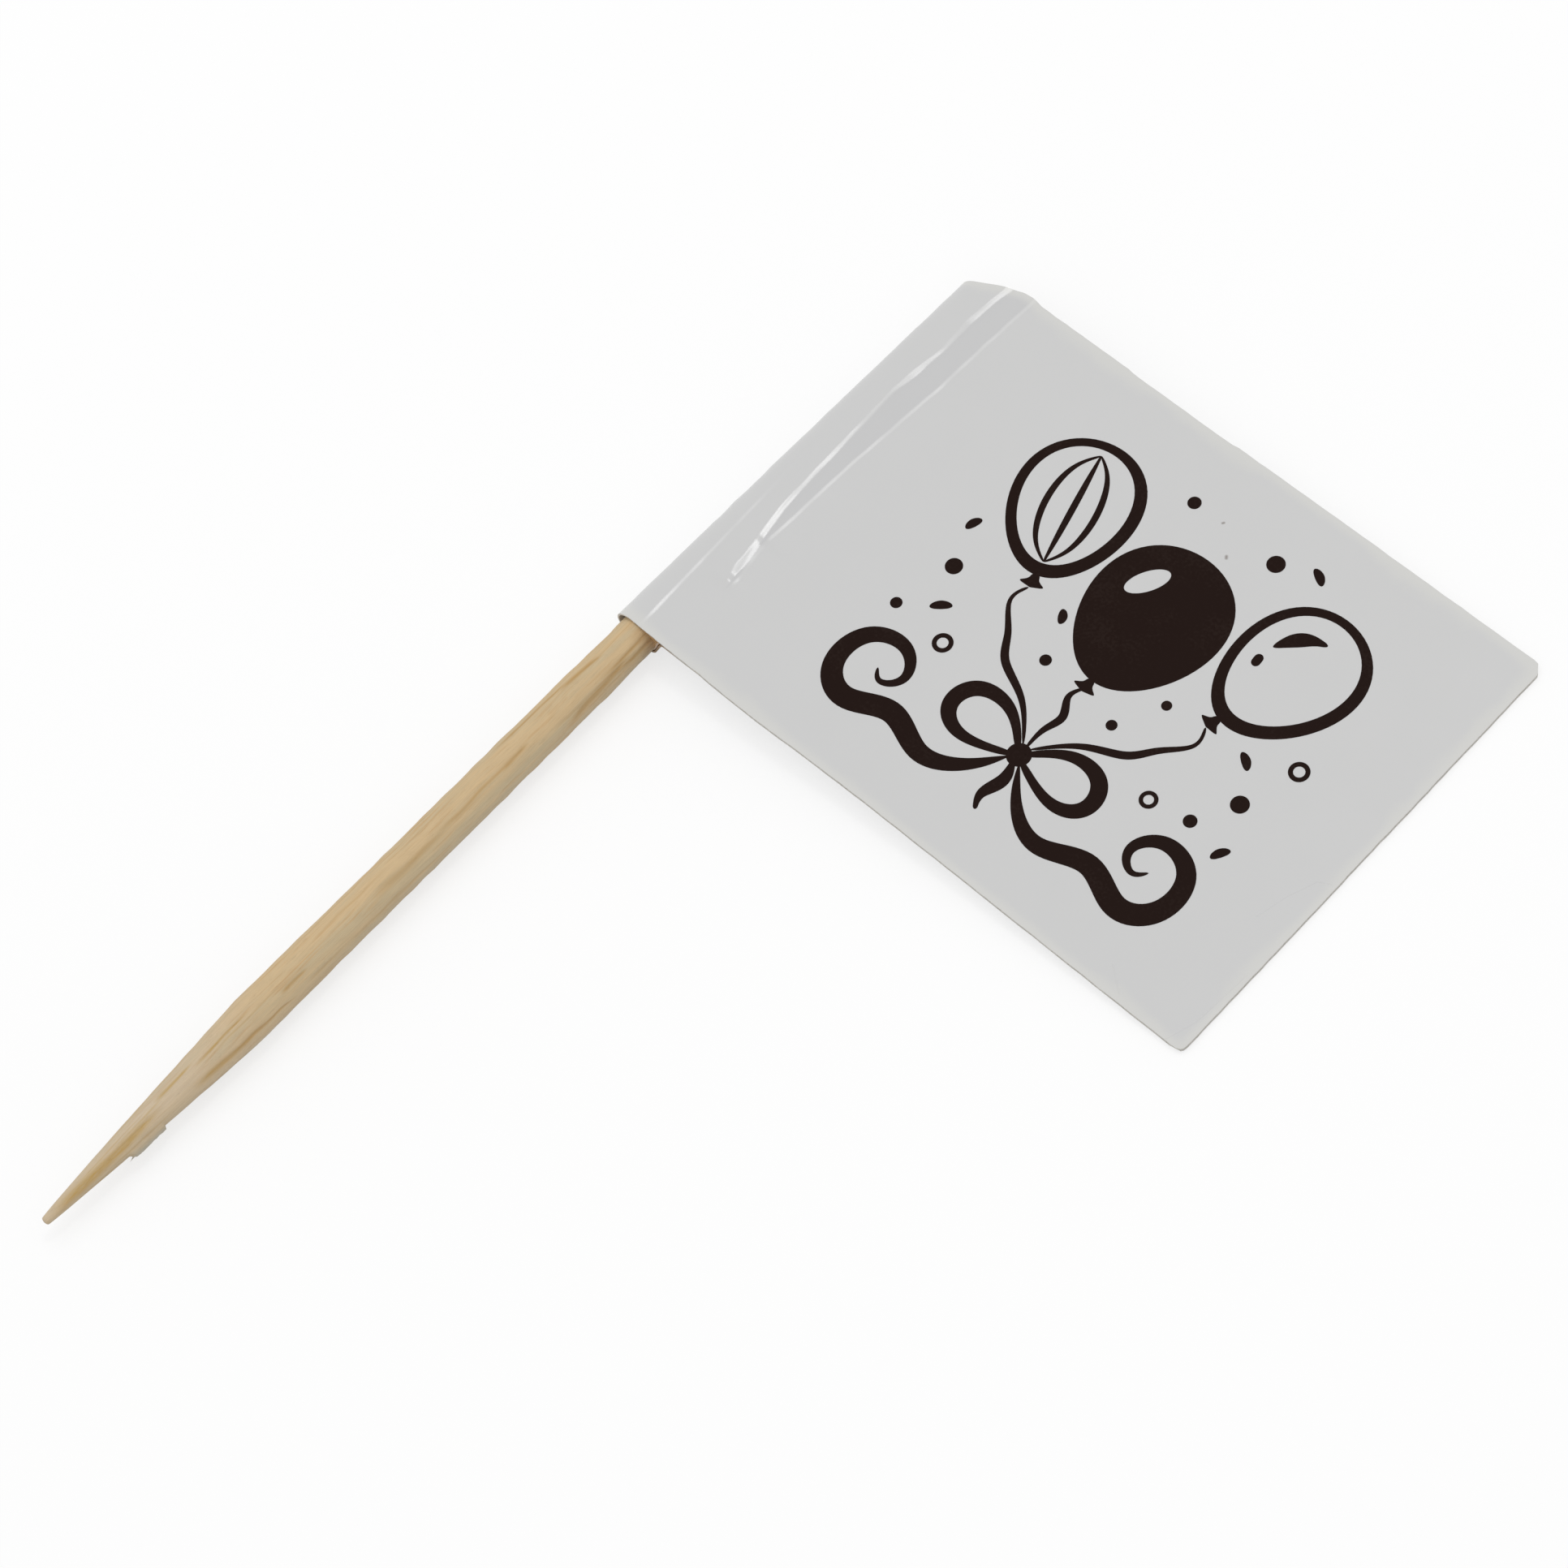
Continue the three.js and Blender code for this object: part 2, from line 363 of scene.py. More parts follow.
to_camera = from_row(camera.location) - from_row(sleeve_spot)
to_camera /= np.linalg.norm(to_camera)
tipped = np.array([math.sin(glint_tip), 0, math.cos(glint_tip)])
to_glint_lamp = 2 * tipped * (tipped @ to_camera) - to_camera
window_lamp = soft_lamp("window_lamp", window_direction, window_width, window_width, window_share)
window_lamp.visible_glossy = False
soft_lamp("glint_lamp", to_glint_lamp, glint_width, glint_length, glint_share)
print("glint lamp towards", to_glint_lamp.round(3))

# %% [markdown]
# Every new piece is a surface worked out with numpy: a whole grid of points from a formula
# in two parameters. The formulas share a few shaping tools: a value part of the way between
# two others, a soft ramp, a plateau with a ramp on either side, and a cubic curve.

# %% Helpers for shapes
def blend(first, last, share):
    """The value at a share of the way from first to last: first + (last - first) share."""
    return first + (last - first) * share


def ease(share):
    """A ramp from 0 to 1 that leaves and arrives level: 3 s^2 - 2 s^3, held outside."""
    share = np.clip(share, 0, 1)
    return share * share * (3 - 2 * share)


def ramp(value, start, end):
    """Eases from 0 at start to 1 at end."""
    return ease((value - start) / (end - start))


def plateau(value, start, full, fade, end):
    """Eases from 0 at start to 1 at full, stays there up to fade, and is back at 0 by end."""
    return ramp(value, start, full) * (1 - ramp(value, fade, end))


def bezier(p0, p1, p2, p3, t):
    """A cubic Bezier curve: the four points weighted by (1-t)^3, 3t(1-t)^2, 3t^2(1-t), t^3."""
    return (1 - t) ** 3 * p0 + 3 * t * (1 - t) ** 2 * p1 + 3 * t * t * (1 - t) * p2 + t ** 3 * p3


print("a ramp is at", ramp(0.25, 0, 1), "a quarter of the way")

# %% [markdown]
# Nothing made of wood or paper is quite even. Plain random numbers would only make a
# surface rough, so they are put on a coarse lattice, and the values between its knots are
# eased from one to the next. The lattice can close on itself, so that no seam shows where a
# pattern has gone once round the pick.

# %% Helpers for noise
def lattice_noise(u, v, cells_round, seed):
    """Smooth noise from -1 to 1: seeded random numbers on a lattice, eased between its
    knots. It repeats after `cells_round` cells of v, so it can go round a stick."""
    knots = np.random.default_rng(seed).uniform(-1, 1, (256, cells_round))
    u, v = np.broadcast_arrays(u, v)
    row, column = np.floor(u).astype(int), np.floor(v).astype(int)
    along, across = ease(u - row), ease(v - column)

    def side(i):
        left = knots[i % 256, column % cells_round]
        right = knots[i % 256, (column + 1) % cells_round]
        return blend(left, right, across)

    return blend(side(row), side(row + 1), along)


def line_noise(u, seed, cells=64):
    """The same noise along a line: one row of the lattice, halfway between its knots."""
    return lattice_noise(u, 0.5, cells, seed)


print("noise along a line runs from", line_noise(np.arange(0, 50, 0.1), 1).min(), "up")

# %% [markdown]
# A grid still needs its faces. One helper lists the quads, one welds points that fall
# together, as at a pointed end, so that every piece is a closed body, and one turns the
# faces outwards.

# %% Helpers for faces
weld_distance = 1e-6


def grid_faces(rows, columns, round_rows=False, round_columns=False):
    """The quads of a grid of points. A grid that goes round joins its last line to its first."""
    row = np.arange(rows if round_rows else rows - 1)[:, None]
    column = np.arange(columns if round_columns else columns - 1)[None, :]
    below, beside = (row + 1) % rows, (column + 1) % columns
    corners = [row * columns + column, row * columns + beside,
               below * columns + beside, below * columns + column]
    return np.stack(corners, axis=-1).reshape(-1, 4)


def weld(points, faces):
    """Joins points that share a place and makes triangles of quads that lose a corner so.
    Returns the points to keep, the quads, the triangles, and which faces they were."""
    keys = np.round(points / weld_distance).astype(np.int64)
    kept, merged = np.unique(keys, axis=0, return_index=True, return_inverse=True)[1:]
    faces = merged.reshape(-1)[faces]
    doubled = faces == np.roll(faces, -1, axis=1)
    whole = np.flatnonzero(~doubled.any(axis=1))
    cut = np.flatnonzero(doubled.sum(axis=1) == 1)
    triangles = faces[cut][~doubled[cut]].reshape(-1, 3)
    return kept, faces[whole], triangles, np.concatenate([whole, cut])


def outward(points, faces):
    """The faces of a closed shell, turned round if they face inwards: the volume that they
    enclose, the sum of a . (b x c) / 6 over their triangles, then comes out negative."""
    a, b, c, d = (points.reshape(-1, 3)[faces[:, k]] for k in range(4))
    volume = (np.cross(b, c) * a).sum() / 6 + (np.cross(c, d) * a).sum() / 6
    return faces if volume > 0 else faces[:, ::-1]


print("a grid of 3 by 4 points has", len(grid_faces(3, 4)), "quads")

# %% [markdown]
# The last of these helpers makes the object. It turns the points into metres in the packed
# model's frame, so the object itself can stay at the origin, and lets it ride on that model.

# %% Helper for a new piece
def new_piece(name, points, faces, slot, materials, finish=None, masks=None, corner=35):
    """Makes a piece from points of the flag's own frame: welds them, smooths the shading up
    to edges sharper than `corner` degrees, gives each face its finish and stores the masks
    as attributes for the materials to read."""
    points = points.reshape(-1, 3)
    kept, quads, triangles, source = weld(points, outward(points, faces))
    mesh = bpy.data.meshes.new(name)
    mesh.from_pydata(to_row(points[kept]).tolist(), [], quads.tolist() + triangles.tolist())
    for material in materials:
        mesh.materials.append(material)
    if finish is not None:
        mesh.polygons.foreach_set("material_index", finish[source].astype(np.int32))
    for label, values in (masks or {}).items():
        layer = mesh.attributes.new(label, "FLOAT", "POINT")
        layer.data.foreach_set("value", values.reshape(-1)[kept].astype(np.float32))
    mesh.shade_smooth()
    mesh.set_sharp_from_angle(angle=math.radians(corner))
    mesh.update()
    piece = bpy.data.objects.new(name, mesh)
    bpy.context.scene.collection.objects.link(piece)
    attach(piece, "root")
    print(name, "has", len(mesh.vertices), "points and", 2 * len(quads) + len(triangles), "triangles")
    return piece


# %% [markdown]
# The pick is a dowel of pale wood with a point at each end. Its outline is a formula: the
# radius grows with the distance from the end to the power 0.8, so the point is a little
# fuller than a cone. A lathe could turn it, but a turned stick looks like plastic. So the
# grid of the outline is cut back by what shaping and tumbling leave on wood: slow flats,
# shallow valleys between bundles of fibres, and a few deeper grooves where a bundle tore.

# %% Shape the pick's outline
pick_radius = 1.07
point_length = 13.4
point_end_radius = 0.15
point_fullness = 0.8
dome_height = 0.1
dome_steps = 7
bare_step = 0.085
past_rim = 1.2
hidden_rows = 80
pick_sides = 160


def outline_radius(height):
    """The radius of the smooth pick at a height above its foot, with a small dome at each
    end: radius = end + (full - end) * (distance / point length)^fullness."""
    distance = np.minimum(height, pick_length - height)
    share = np.clip(distance / point_length, 0, 1)
    dome = np.clip(1 - distance / dome_height, 0, 1)
    return blend(point_end_radius, pick_radius, share ** point_fullness) * np.sqrt(1 - dome * dome)


dome_rows = dome_height * (np.arange(dome_steps) / dome_steps) ** 2
pick_rows = np.concatenate([
    dome_rows,
    np.arange(dome_height, flag_bottom + past_rim, bare_step),
    np.linspace(flag_bottom + past_rim + 0.1, pick_length - dome_height, hidden_rows),
    pick_length - dome_rows[::-1],
])
up_pick, round_pick = np.meshgrid(pick_rows, np.arange(pick_sides) * 360 / pick_sides, indexing="ij")
smooth_radius = outline_radius(up_pick)
print("pick grid", up_pick.shape, "radius up to", smooth_radius.max())

# %% [markdown]
# Grooves are where the look of real wood comes from, so the visible ones are placed one by
# one: each starts and ends at a height and an angle round the pick (0 degrees faces the
# fly edge, 90 degrees faces up), and has a half width, a depth and a strength of colour.
# The last two are wide, soft hollows: under the sleeve's rim the stick is a little thinner.

# %% Place the grooves
grooves = [
    # start height and angle, end height and angle, half width, depth, strength of the colour
    (0.2, 50, 7.6, 60, 0.22, 0.05, 1.0),
    (3.3, 64, 7.1, 63, 0.07, 0.03, 1.0),
    (7.2, 88, 9.9, 92, 0.09, 0.02, 0.8),
    (9.7, 75, 13.6, 83, 0.06, 0.025, 0.9),
    (8.9, 31, 14.0, 24, 0.15, 0.05, 1.0),
    (12.4, 26, 15.6, 21, 0.07, 0.03, 0.9),
    (14.9, 52, 16.8, 55, 0.09, 0.02, 1.0),
    (17.6, 96, 23.0, 90, 0.06, 0.008, 0.3),
    (18.0, 20, 26.0, 14, 0.09, 0.010, 0.3),
    (21.0, 60, 26.5, 58, 0.20, 0.008, 0.5),
    (24.8, 62, 32.2, 65, 0.11, 0.012, 0.6),
    (29.7, 62, 31.9, 64, 0.12, 0.015, 0.8),
    (30.0, 122, 35.8, 110, 0.09, 0.03, 0.9),
    (34.6, 110, 37.6, 96, 0.12, 0.03, 1.0),
    (33.6, 22, 38.6, 42, 0.17, 0.045, 1.0),
    (36.2, 47, 42.4, 56, 0.09, 0.03, 0.8),
    (37.0, 30, 42.4, 34, 0.13, 0.04, 0.9),
    (36.6, -25, 44.4, -25, 0.50, 0.055, 0.0),
    (35.6, 153, 44.4, 153, 0.50, 0.045, 0.0),
]
groove_wander, wander_length = 3, 1.3


def arc_from(middle):
    """How far round the pick each grid point is from an angle, as an arc in mm: the radius
    times the angle between them, taken from -180 to 180 degrees."""
    return smooth_radius * np.radians((round_pick - middle + 180) % 360 - 180)


def groove_mask(start_height, start_angle, end_height, end_angle, half_width):
    """How much of a groove is at each grid point: a bell across it, exp(-(d / half width)^2),
    with d the arc to its wandering middle line. It narrows to half and fades at both ends."""
    along = (up_pick - start_height) / (end_height - start_height)
    half_width = half_width * (1 - 0.5 * np.clip(along, 0, 1))
    wander = groove_wander * lattice_noise(up_pick / wander_length, start_angle, 64, 11)
    arc = arc_from(blend(start_angle, end_angle, along) + wander)
    return np.exp(-(arc / half_width) ** 2) * plateau(along, 0, 0.3, 0.7, 1)


print(len(grooves), "grooves placed by hand")

# %% [markdown]
# Many faint grooves at random places fill in the rest, the far side too. The same masks
# that dent the mesh are kept, because the torn fibres are also a deeper amber. They could be
# painted on alone, but where the light falls along the pick, a dent is what the eye sees.

# %% Cut the grooves into the pick
faint_count = 70
faint_length = (2.0, 7.0)
faint_width = (0.03, 0.08)
faint_depth = 0.014
faint_colour = 0.35
faint_turn = 8

groove = np.zeros_like(up_pick)
relief = np.zeros_like(up_pick)
for *route, depth, colour in grooves:
    mask = groove_mask(*route)
    groove = np.maximum(groove, colour * mask)
    relief -= depth * mask
chance = np.random.default_rng(5)
for _ in range(faint_count):
    start, start_angle = chance.uniform(0, pick_length), chance.uniform(0, 360)
    length, half_width = chance.uniform(*faint_length), chance.uniform(*faint_width)
    end_angle = start_angle + chance.uniform(-faint_turn, faint_turn)
    mask = groove_mask(start, start_angle, start + length, end_angle, half_width)
    groove = np.maximum(groove, faint_colour * mask)
    relief -= faint_depth * mask
torn_fibres = np.clip(1.3 * groove, 0, 1) ** 0.8
print("deepest groove", -relief.min())

# %% [markdown]
# The rest of the relief is soft: slow flats round the stick, bundles of fibres about 0.2 mm
# wide and some millimetres long, short humps that make the outline a little uneven, and
# fine hairs. On the fly side of the point a strip of wood has lifted: it rises at once from
# its lower end and breaks off in a step at its upper one. Inside the sleeve the relief only
# ever cuts inwards, so that the pick stays clear of the adhesive. The stick is also bowed by
# a fiftieth of a millimetre, and its point is slightly fuller and longer than the outline.

# %% Add flats, fibres and the lifted strip
relief_layers = [
    # depth, length of a bump up the pick, bumps round it, seed
    (0.016, 9.0, 5, 21),
    (0.010, 4.0, 9, 22),
    (0.009, 2.2, 34, 23),
    (0.018, 0.7, 14, 24),
    (0.007, 0.6, 80, 25),
]
thin_share = 0.15
lifted_angle = -22
lifted_ends = (4.82, 6.93)
lifted_heights = (0.25, 0.16)
lifted_half_width = (0.08, 0.42)
lifted_rough, rough_length, rough_bumps = 0.12, 0.17, 60
point_swell, swell_fade = 0.05, (11, 19)
bow_angle, bow_reach = math.radians(-27), 0.022
tip_reach, tip_fade = 0.08, 3

uneven = relief.copy()
for depth, length, bumps, seed in relief_layers:
    uneven += depth * lattice_noise(up_pick / length, round_pick / 360 * bumps, bumps, seed)
uneven = uneven * np.clip(smooth_radius / pick_radius, thin_share, 1)

lifted_along = (up_pick - lifted_ends[0]) / (lifted_ends[1] - lifted_ends[0])
lifted = (lifted_along > 0) * (lifted_along < 1) * ramp(lifted_along, -0.02, 0.12)
lifted = lifted * (1 - ramp(np.abs(arc_from(lifted_angle)), *lifted_half_width))
bumpy = lattice_noise(up_pick / rough_length, round_pick / 360 * rough_bumps, rough_bumps, 26)
uneven += lifted * blend(*lifted_heights, lifted_along) * (1 + lifted_rough * bumpy)
uneven += point_swell * (1 - ramp(up_pick, *swell_fade))

in_sleeve = ramp(up_pick, flag_bottom - 0.5, flag_bottom + 0.3)
pick_surface = smooth_radius + np.where(uneven > 0, uneven * (1 - in_sleeve), uneven)
bow = bow_reach * (1 - in_sleeve)
pick_points = np.stack([
    pick_surface * np.cos(np.radians(round_pick)) + bow * math.cos(bow_angle),
    up_pick - tip_reach * (1 - ramp(up_pick, 0, tip_fade)),
    pick_surface * np.sin(np.radians(round_pick)) + bow * math.sin(bow_angle),
], axis=-1)
print("relief of the pick from", uneven.min(), "to", uneven.max())

# %% [markdown]
# The finish has to know where the wood was worked. Near the points the tool has cut across
# the fibres, which bares paler wood. The lifted strip has dried grey. The side of the stick
# that it lies on faces away from the light and is a little greyer too: painted shade.
# Under the rim the wood is darker brown, most on the fly side: painted shade of the sleeve.
# Each of these is a mask from 0 to 1 at every point of the mesh.

# %% Mark the bared and the dried wood, and the painted shade on the side and under the rim
bared_side, shaded_side, rim_shade_side = 135, -35, 15
bared_fade = (0.6 * point_length, 1.15 * point_length)
rim_shade_reach = (-0.9, -0.05, 1.0, 3.0)


def facing(direction):
    """1 where the pick faces a direction, -1 where it faces away: the cosine between them."""
    return np.cos(np.radians(round_pick - direction))


bared = (1 - ramp(up_pick, *bared_fade)) * (0.65 + 0.35 * facing(bared_side))
# Painted shade: greyer on the side that faces away from the light. On the lifted strip the grey is dried
# wood.
dried_and_side_shade = np.maximum(0.85 * lifted, 0.3 * np.clip(facing(shaded_side), 0, 1) ** 2)
# Painted shade: a brown band under the sleeve's rim, darkest on the fly side.
rim_shade = plateau(up_pick - flag_bottom, *rim_shade_reach) * blend(0.04, 1, (0.5 + 0.5 * facing(rim_shade_side)) ** 3)
pick_masks = {"groove": torn_fibres, "bared": bared, "rim_shade": rim_shade, "dried_and_side_shade": dried_and_side_shade}
print("mean of each mask", {label: round(float(mask.mean()), 3) for label, mask in pick_masks.items()})

# %% [markdown]
# Wood is fibres all running one way, so its pattern is a noise that is drawn out along the
# pick. This group does that once: it divides the place by a fibre's width and length, after
# letting the fibres wander a little from side to side. Every wooden finish places it
# several times, from broad bands down to hair-fine pores.

# %% Build the fibre pattern
sway_per_mm = (0.25, 0.22, 0.25)
fibre_grain, sockets, finish_group = new_group(
    "fibre_grain",
    {"Place": ("Vector", None), "Width": ("Float", 0.1), "Length": ("Float", 3.0),
     "Wander": ("Float", 0.1), "Shift": ("Float", 0.0)},
    {"Fibre": "Float"},
)
slow_place = vector_node(fibre_grain, "MULTIPLY", sockets["Place"], sway_per_mm)
sway = noise_node(fibre_grain, slow_place, 1.0)["Color"]
centred = vector_node(fibre_grain, "SUBTRACT", sway, (0.5, 0.5, 0.5))
swayed = vector_node(fibre_grain, "SCALE", centred, scale=sockets["Wander"])
moved = vector_node(fibre_grain, "ADD", sockets["Place"], swayed)
shifted = vector_node(fibre_grain, "ADD", moved, sockets["Shift"])
sizes = {0: sockets["Width"], 1: sockets["Length"], 2: sockets["Width"]}
fibre_size = add_node(fibre_grain, "CombineXYZ", sizes).outputs["Vector"]
drawn_out = vector_node(fibre_grain, "DIVIDE", shifted, fibre_size)
finish_group({"Fibre": noise_node(fibre_grain, drawn_out, 3.0, 0.6)["Fac"]})
print("fibre_grain has", len(fibre_grain.nodes), "nodes")

# %% [markdown]
# The wood's colour is layered like the wood itself: a pale tan ground that drifts between
# a warmer and a greyer tone, orange-brown streaks, fine fibres that lighten and darken it,
# and short dark pores. The masks from the shape come on top: paler wood where the point was
# cut, amber in the point's grooves and brown in the shank's, a brown painted shade under the
# rim, and grey that is dried wood on the lifted strip and painted shade on the stick's fly
# side. It is a group, because the splinters use it too, in a greyer tone. The fibre pattern
# comes first, at four sizes.

# %% Set the wood's colours and patterns
wood_warm = (0.610, 0.445, 0.250)
wood_cool = (0.548, 0.432, 0.264)
wood_streak = (0.525, 0.325, 0.150)
wood_bared = (0.590, 0.500, 0.385)
wood_amber = (0.470, 0.306, 0.088)
wood_brown = (0.445, 0.270, 0.098)
# Painted shade under the sleeve's rim, in a warm brown.
wood_rim_shade = (0.410, 0.245, 0.110)
wood_pore = (0.420, 0.275, 0.140)
# The grey of dried wood, and of the painted shade on the stick's fly side.
wood_grey = (0.435, 0.410, 0.335)

wood_tones, sockets, finish_group = new_group(
    "wood_tones",
    {"Place": ("Vector", None), "Bared": ("Float", 0.0), "Groove": ("Float", 0.0),
     "RimShade": ("Float", 0.0), "Greyness": ("Float", 0.0)},
    {"Color": "Color", "Roughness": "Float", "Height": "Float"},
)


def grain(width, length, wander, shift):
    """One pattern of fibres inside the wood group."""
    values = {"Place": sockets["Place"], "Width": width, "Length": length, "Wander": wander, "Shift": shift}
    return use_group(wood_tones, fibre_grain, values)["Fibre"]


bands = grain(0.62, 16.0, 0.5, 3.0)
streaks = grain(0.16, 5.0, 0.35, 11.0)
fine = grain(0.045, 1.5, 0.2, 23.0)
pores = grain(0.05, 0.9, 0.15, 37.0)
print("wood_tones reads", len(sockets) - 1, "values")

# %% [markdown]
# Each layer of the wood's colour is a share and a colour, so a loop can mix them one over
# the other. A mask from the mesh is first made uneven by one of the patterns, because an
# even tone with a soft edge would look sprayed on. The fibres and the pores also give the
# height for a bump, and how dull the surface is.

# %% Layer the wood's colours
def patchy(mask, pattern, *spread):
    """A mask times a pattern that is spread onto a range."""
    return math_node(wood_tones, "MULTIPLY", sockets[mask], map_range(wood_tones, pattern, *spread))


torn_tone = mixed(wood_tones, sockets["Bared"], wood_brown, wood_amber)
wood_layers = [
    (map_range(wood_tones, streaks, 0.53, 0.70, 0.0, 0.55), wood_streak),
    (patchy("Bared", bands, 0.25, 0.6, 0.9, 0.45), wood_bared),
    (patchy("Groove", fine, 0.3, 0.7, 0.55, 1.0), torn_tone),
    # Painted shade under the rim.
    (patchy("RimShade", streaks, 0.3, 0.6, 0.35, 0.8), wood_rim_shade),
    (map_range(wood_tones, pores, 0.64, 0.76, 0.0, 0.18), wood_pore),
    # Grey: dried wood, and painted shade on the fly side.
    (sockets["Greyness"], wood_grey),
]
tone = mixed(wood_tones, map_range(wood_tones, bands, 0.36, 0.64), wood_warm, wood_cool)
for share, colour in wood_layers:
    tone = mixed(wood_tones, share, tone, colour)
shade = map_range(wood_tones, fine, 0.25, 0.75, 0.95, 1.05)
pits = map_range(wood_tones, pores, 0.60, 0.74, 0.0, -0.4)
finish_group({
    "Color": vector_node(wood_tones, "SCALE", tone, scale=shade),
    "Roughness": map_range(wood_tones, streaks, 0.3, 0.7, 0.52, 0.72),
    "Height": math_node(wood_tones, "MULTIPLY_ADD", fine, 0.9, pits),
})
print("wood_tones has", len(wood_tones.nodes), "nodes")

# %% [markdown]
# A bare wood surface scatters light and has a faint, broad shine. The material reads the
# masks from the mesh, hands them to the group, and turns the group's height into a bump of
# two hundredths of a millimetre for the finest fibres, which are thinner than the grid's
# steps.

# %% Finish the pick
fibre_bump = 0.00002
wood_corner = 60


def wood_material(name, masks, greyness=0.0):
    """Bare wood. `masks` names the attributes that the mesh holds for the group's sockets."""
    material, tree, finish_material = new_material(name)
    inputs = {"Place": flag_coordinates(tree), "Greyness": greyness}
    for socket, label in masks.items():
        inputs[socket] = mesh_mask(tree, label)
    look = use_group(tree, wood_tones, inputs)
    finish_material(surface_shader(tree, look["Height"], 0.9, fibre_bump, {
        "Base Color": look["Color"], "Roughness": look["Roughness"], "Specular IOR Level": 0.35,
    }))
    return material


pick_wood = wood_material(
    "pick_wood", {"Bared": "bared", "Groove": "groove", "RimShade": "rim_shade", "Greyness": "dried_and_side_shade"},
)
pick = new_piece(
    "turned_pick", pick_points, grid_faces(*up_pick.shape, round_columns=True), "pick_wood", [pick_wood],
    masks=pick_masks, corner=wood_corner,
)
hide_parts("wooden_pick")

# %% [markdown]
# Sharpening also tears fibres loose. The lifted strip ends in a free splinter that points
# down the pick, and a few finer ones stand off the stick. Each splinter is an oval section
# carried along the pick, thin at the free tip and rooted in the wood, so it never hangs in
# the air. The grey tone is that of fibres that have dried apart.

# %% Lift the splinters
splinters = [
    # tip and root up the pick, angle, lift of the tip and of the root, half width, half thickness
    (4.58, 5.60, -22, 0.285, 0.190, 0.10, 0.050),
    (11.9, 10.6, -24, 0.020, 0.000, 0.05, 0.030),
    (13.9, 12.7, 149, 0.020, 0.000, 0.04, 0.025),
    (21.6, 20.6, -22, 0.018, 0.000, 0.04, 0.022),
]
splinter_rows = 28
splinter_sides = 12
root_start = 0.94
torn_start, torn_depth = 0.9, 0.05


def splinter_points(tip, root, angle, tip_lift, root_lift, half_width, half_thickness):
    """A grid of ovals along the pick: each oval's outer side is at the pick's radius plus a
    lift that goes from the tip's to the root's, and its half sizes grow from nothing and
    close again at the root as a circle does."""
    share = np.linspace(0, 1, splinter_rows)[:, None]
    turn = np.linspace(0, 2 * np.pi, splinter_sides, endpoint=False)[None, :]
    height = blend(tip, root, share)
    closing = np.clip((share - root_start) / (1 - root_start), 0, 1)
    swell = ramp(share, -0.02, 0.45) * np.sqrt(1 - closing ** 2)
    thick = half_thickness * np.sqrt(np.clip(share * 3, 0, 1)) * swell
    outer = outline_radius(height) + blend(tip_lift, root_lift, share)
    reach = outer - thick + thick * np.sin(turn)
    across = half_width * swell * np.cos(turn) * (1 + 0.2 * np.sin(9 * share + 2 * turn))
    direction = np.radians(angle) + across / outer
    torn = torn_depth * (root - tip) * (share > torn_start) * np.sin(3 * turn + 1)
    return np.stack([reach * np.cos(direction), height + torn, reach * np.sin(direction)], axis=-1)


def join_shells(shells):
    """Several closed grids as one set of points and faces. Each is (points, faces)."""
    firsts = np.cumsum([0] + [points.reshape(-1, 3).shape[0] for points, _ in shells])
    points = np.concatenate([points.reshape(-1, 3) for points, _ in shells])
    faces = np.concatenate([outward(*shell) + first for shell, first in zip(shells, firsts)])
    return points, faces


splinter_faces = grid_faces(splinter_rows, splinter_sides, round_columns=True)
splinter_shells = [(splinter_points(*values), splinter_faces) for values in splinters]
lifted_wood = wood_material("lifted_wood", {}, greyness=0.85)
new_piece("lifted_splinters", *join_shells(splinter_shells), "pick_wood", [lifted_wood], corner=wood_corner)

# %% [markdown]
# The paper strip is one closed sheet 0.1 mm thick. Cut across the pick, its outer face runs
# from the fly edge along the front leaf, over the sleeve, round the fold, under the pick
# and back along the back leaf. Such a section is worked out for every height at once. On
# the front it is a height over the leaf, and round the back it is a chain of cubic curves
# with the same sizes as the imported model.

# %% Set the sizes of the sleeve
paper_thickness = 0.1
bond_gap = 0.01
crest_height = 1.22
loose_drop = 0.2
crest_reach = -0.25
fold_low, fold_high = 1.38, 1.02
wrap_radius = 1.21
lift_rim, lift_above = math.radians(-26), math.radians(-20)
pull_rim, pull_above, tuck_pull = 1.12, 0.9, 0.3
junction_rim, junction_low, junction_high = 0.12, wrap_radius + 0.85, wrap_radius + 1.8
sleeve_lead = 4.3

paper_rows = 148
level_share = np.linspace(0, 1, paper_rows)[:, None]
level = blend(flag_bottom, flag_top, level_share)
crest = crest_height - loose_drop * ramp(level, pick_length - point_length, flag_top)
print("crest of the sleeve from", crest.max(), "down to", crest.min())

# %% [markdown]
# Where the hidden point leaves the paper unsupported, the sleeve has been pressed flat by
# fingers, and two creases run up it from a V. They are narrow strips that tip by six to
# eleven degrees, which is why they flash. So each crease is given as a route up the
# sleeve, a width, and how steep it is at every height. The near crease lies beside the
# pick, the far one towards the leaf, and a third flash runs up the tube from the rim.

# %% Trace the creases
near_at = ((43.8, 1.97), (46.2, 1.60), (48.8, 1.17), (52.9, 1.03), (57.0, 0.85), (58.2, 0.99),
           (60.1, 1.14), (62.2, 1.05), (65.0, 1.28))
far_at = ((44.3, 2.24), (46.6, 1.88), (52.7, 2.12), (58.2, 2.54), (65.0, 2.80))
near_width_at = ((43.8, 0.14), (45.0, 0.44), (47.0, 0.38), (48.6, 0.33), (50.5, 0.24), (54.0, 0.22),
                 (56.2, 0.18), (58.1, 0.34), (59.4, 0.27), (61.2, 0.22), (63.0, 0.30), (65.0, 0.34))
far_width, rim_width = 0.19, 0.18
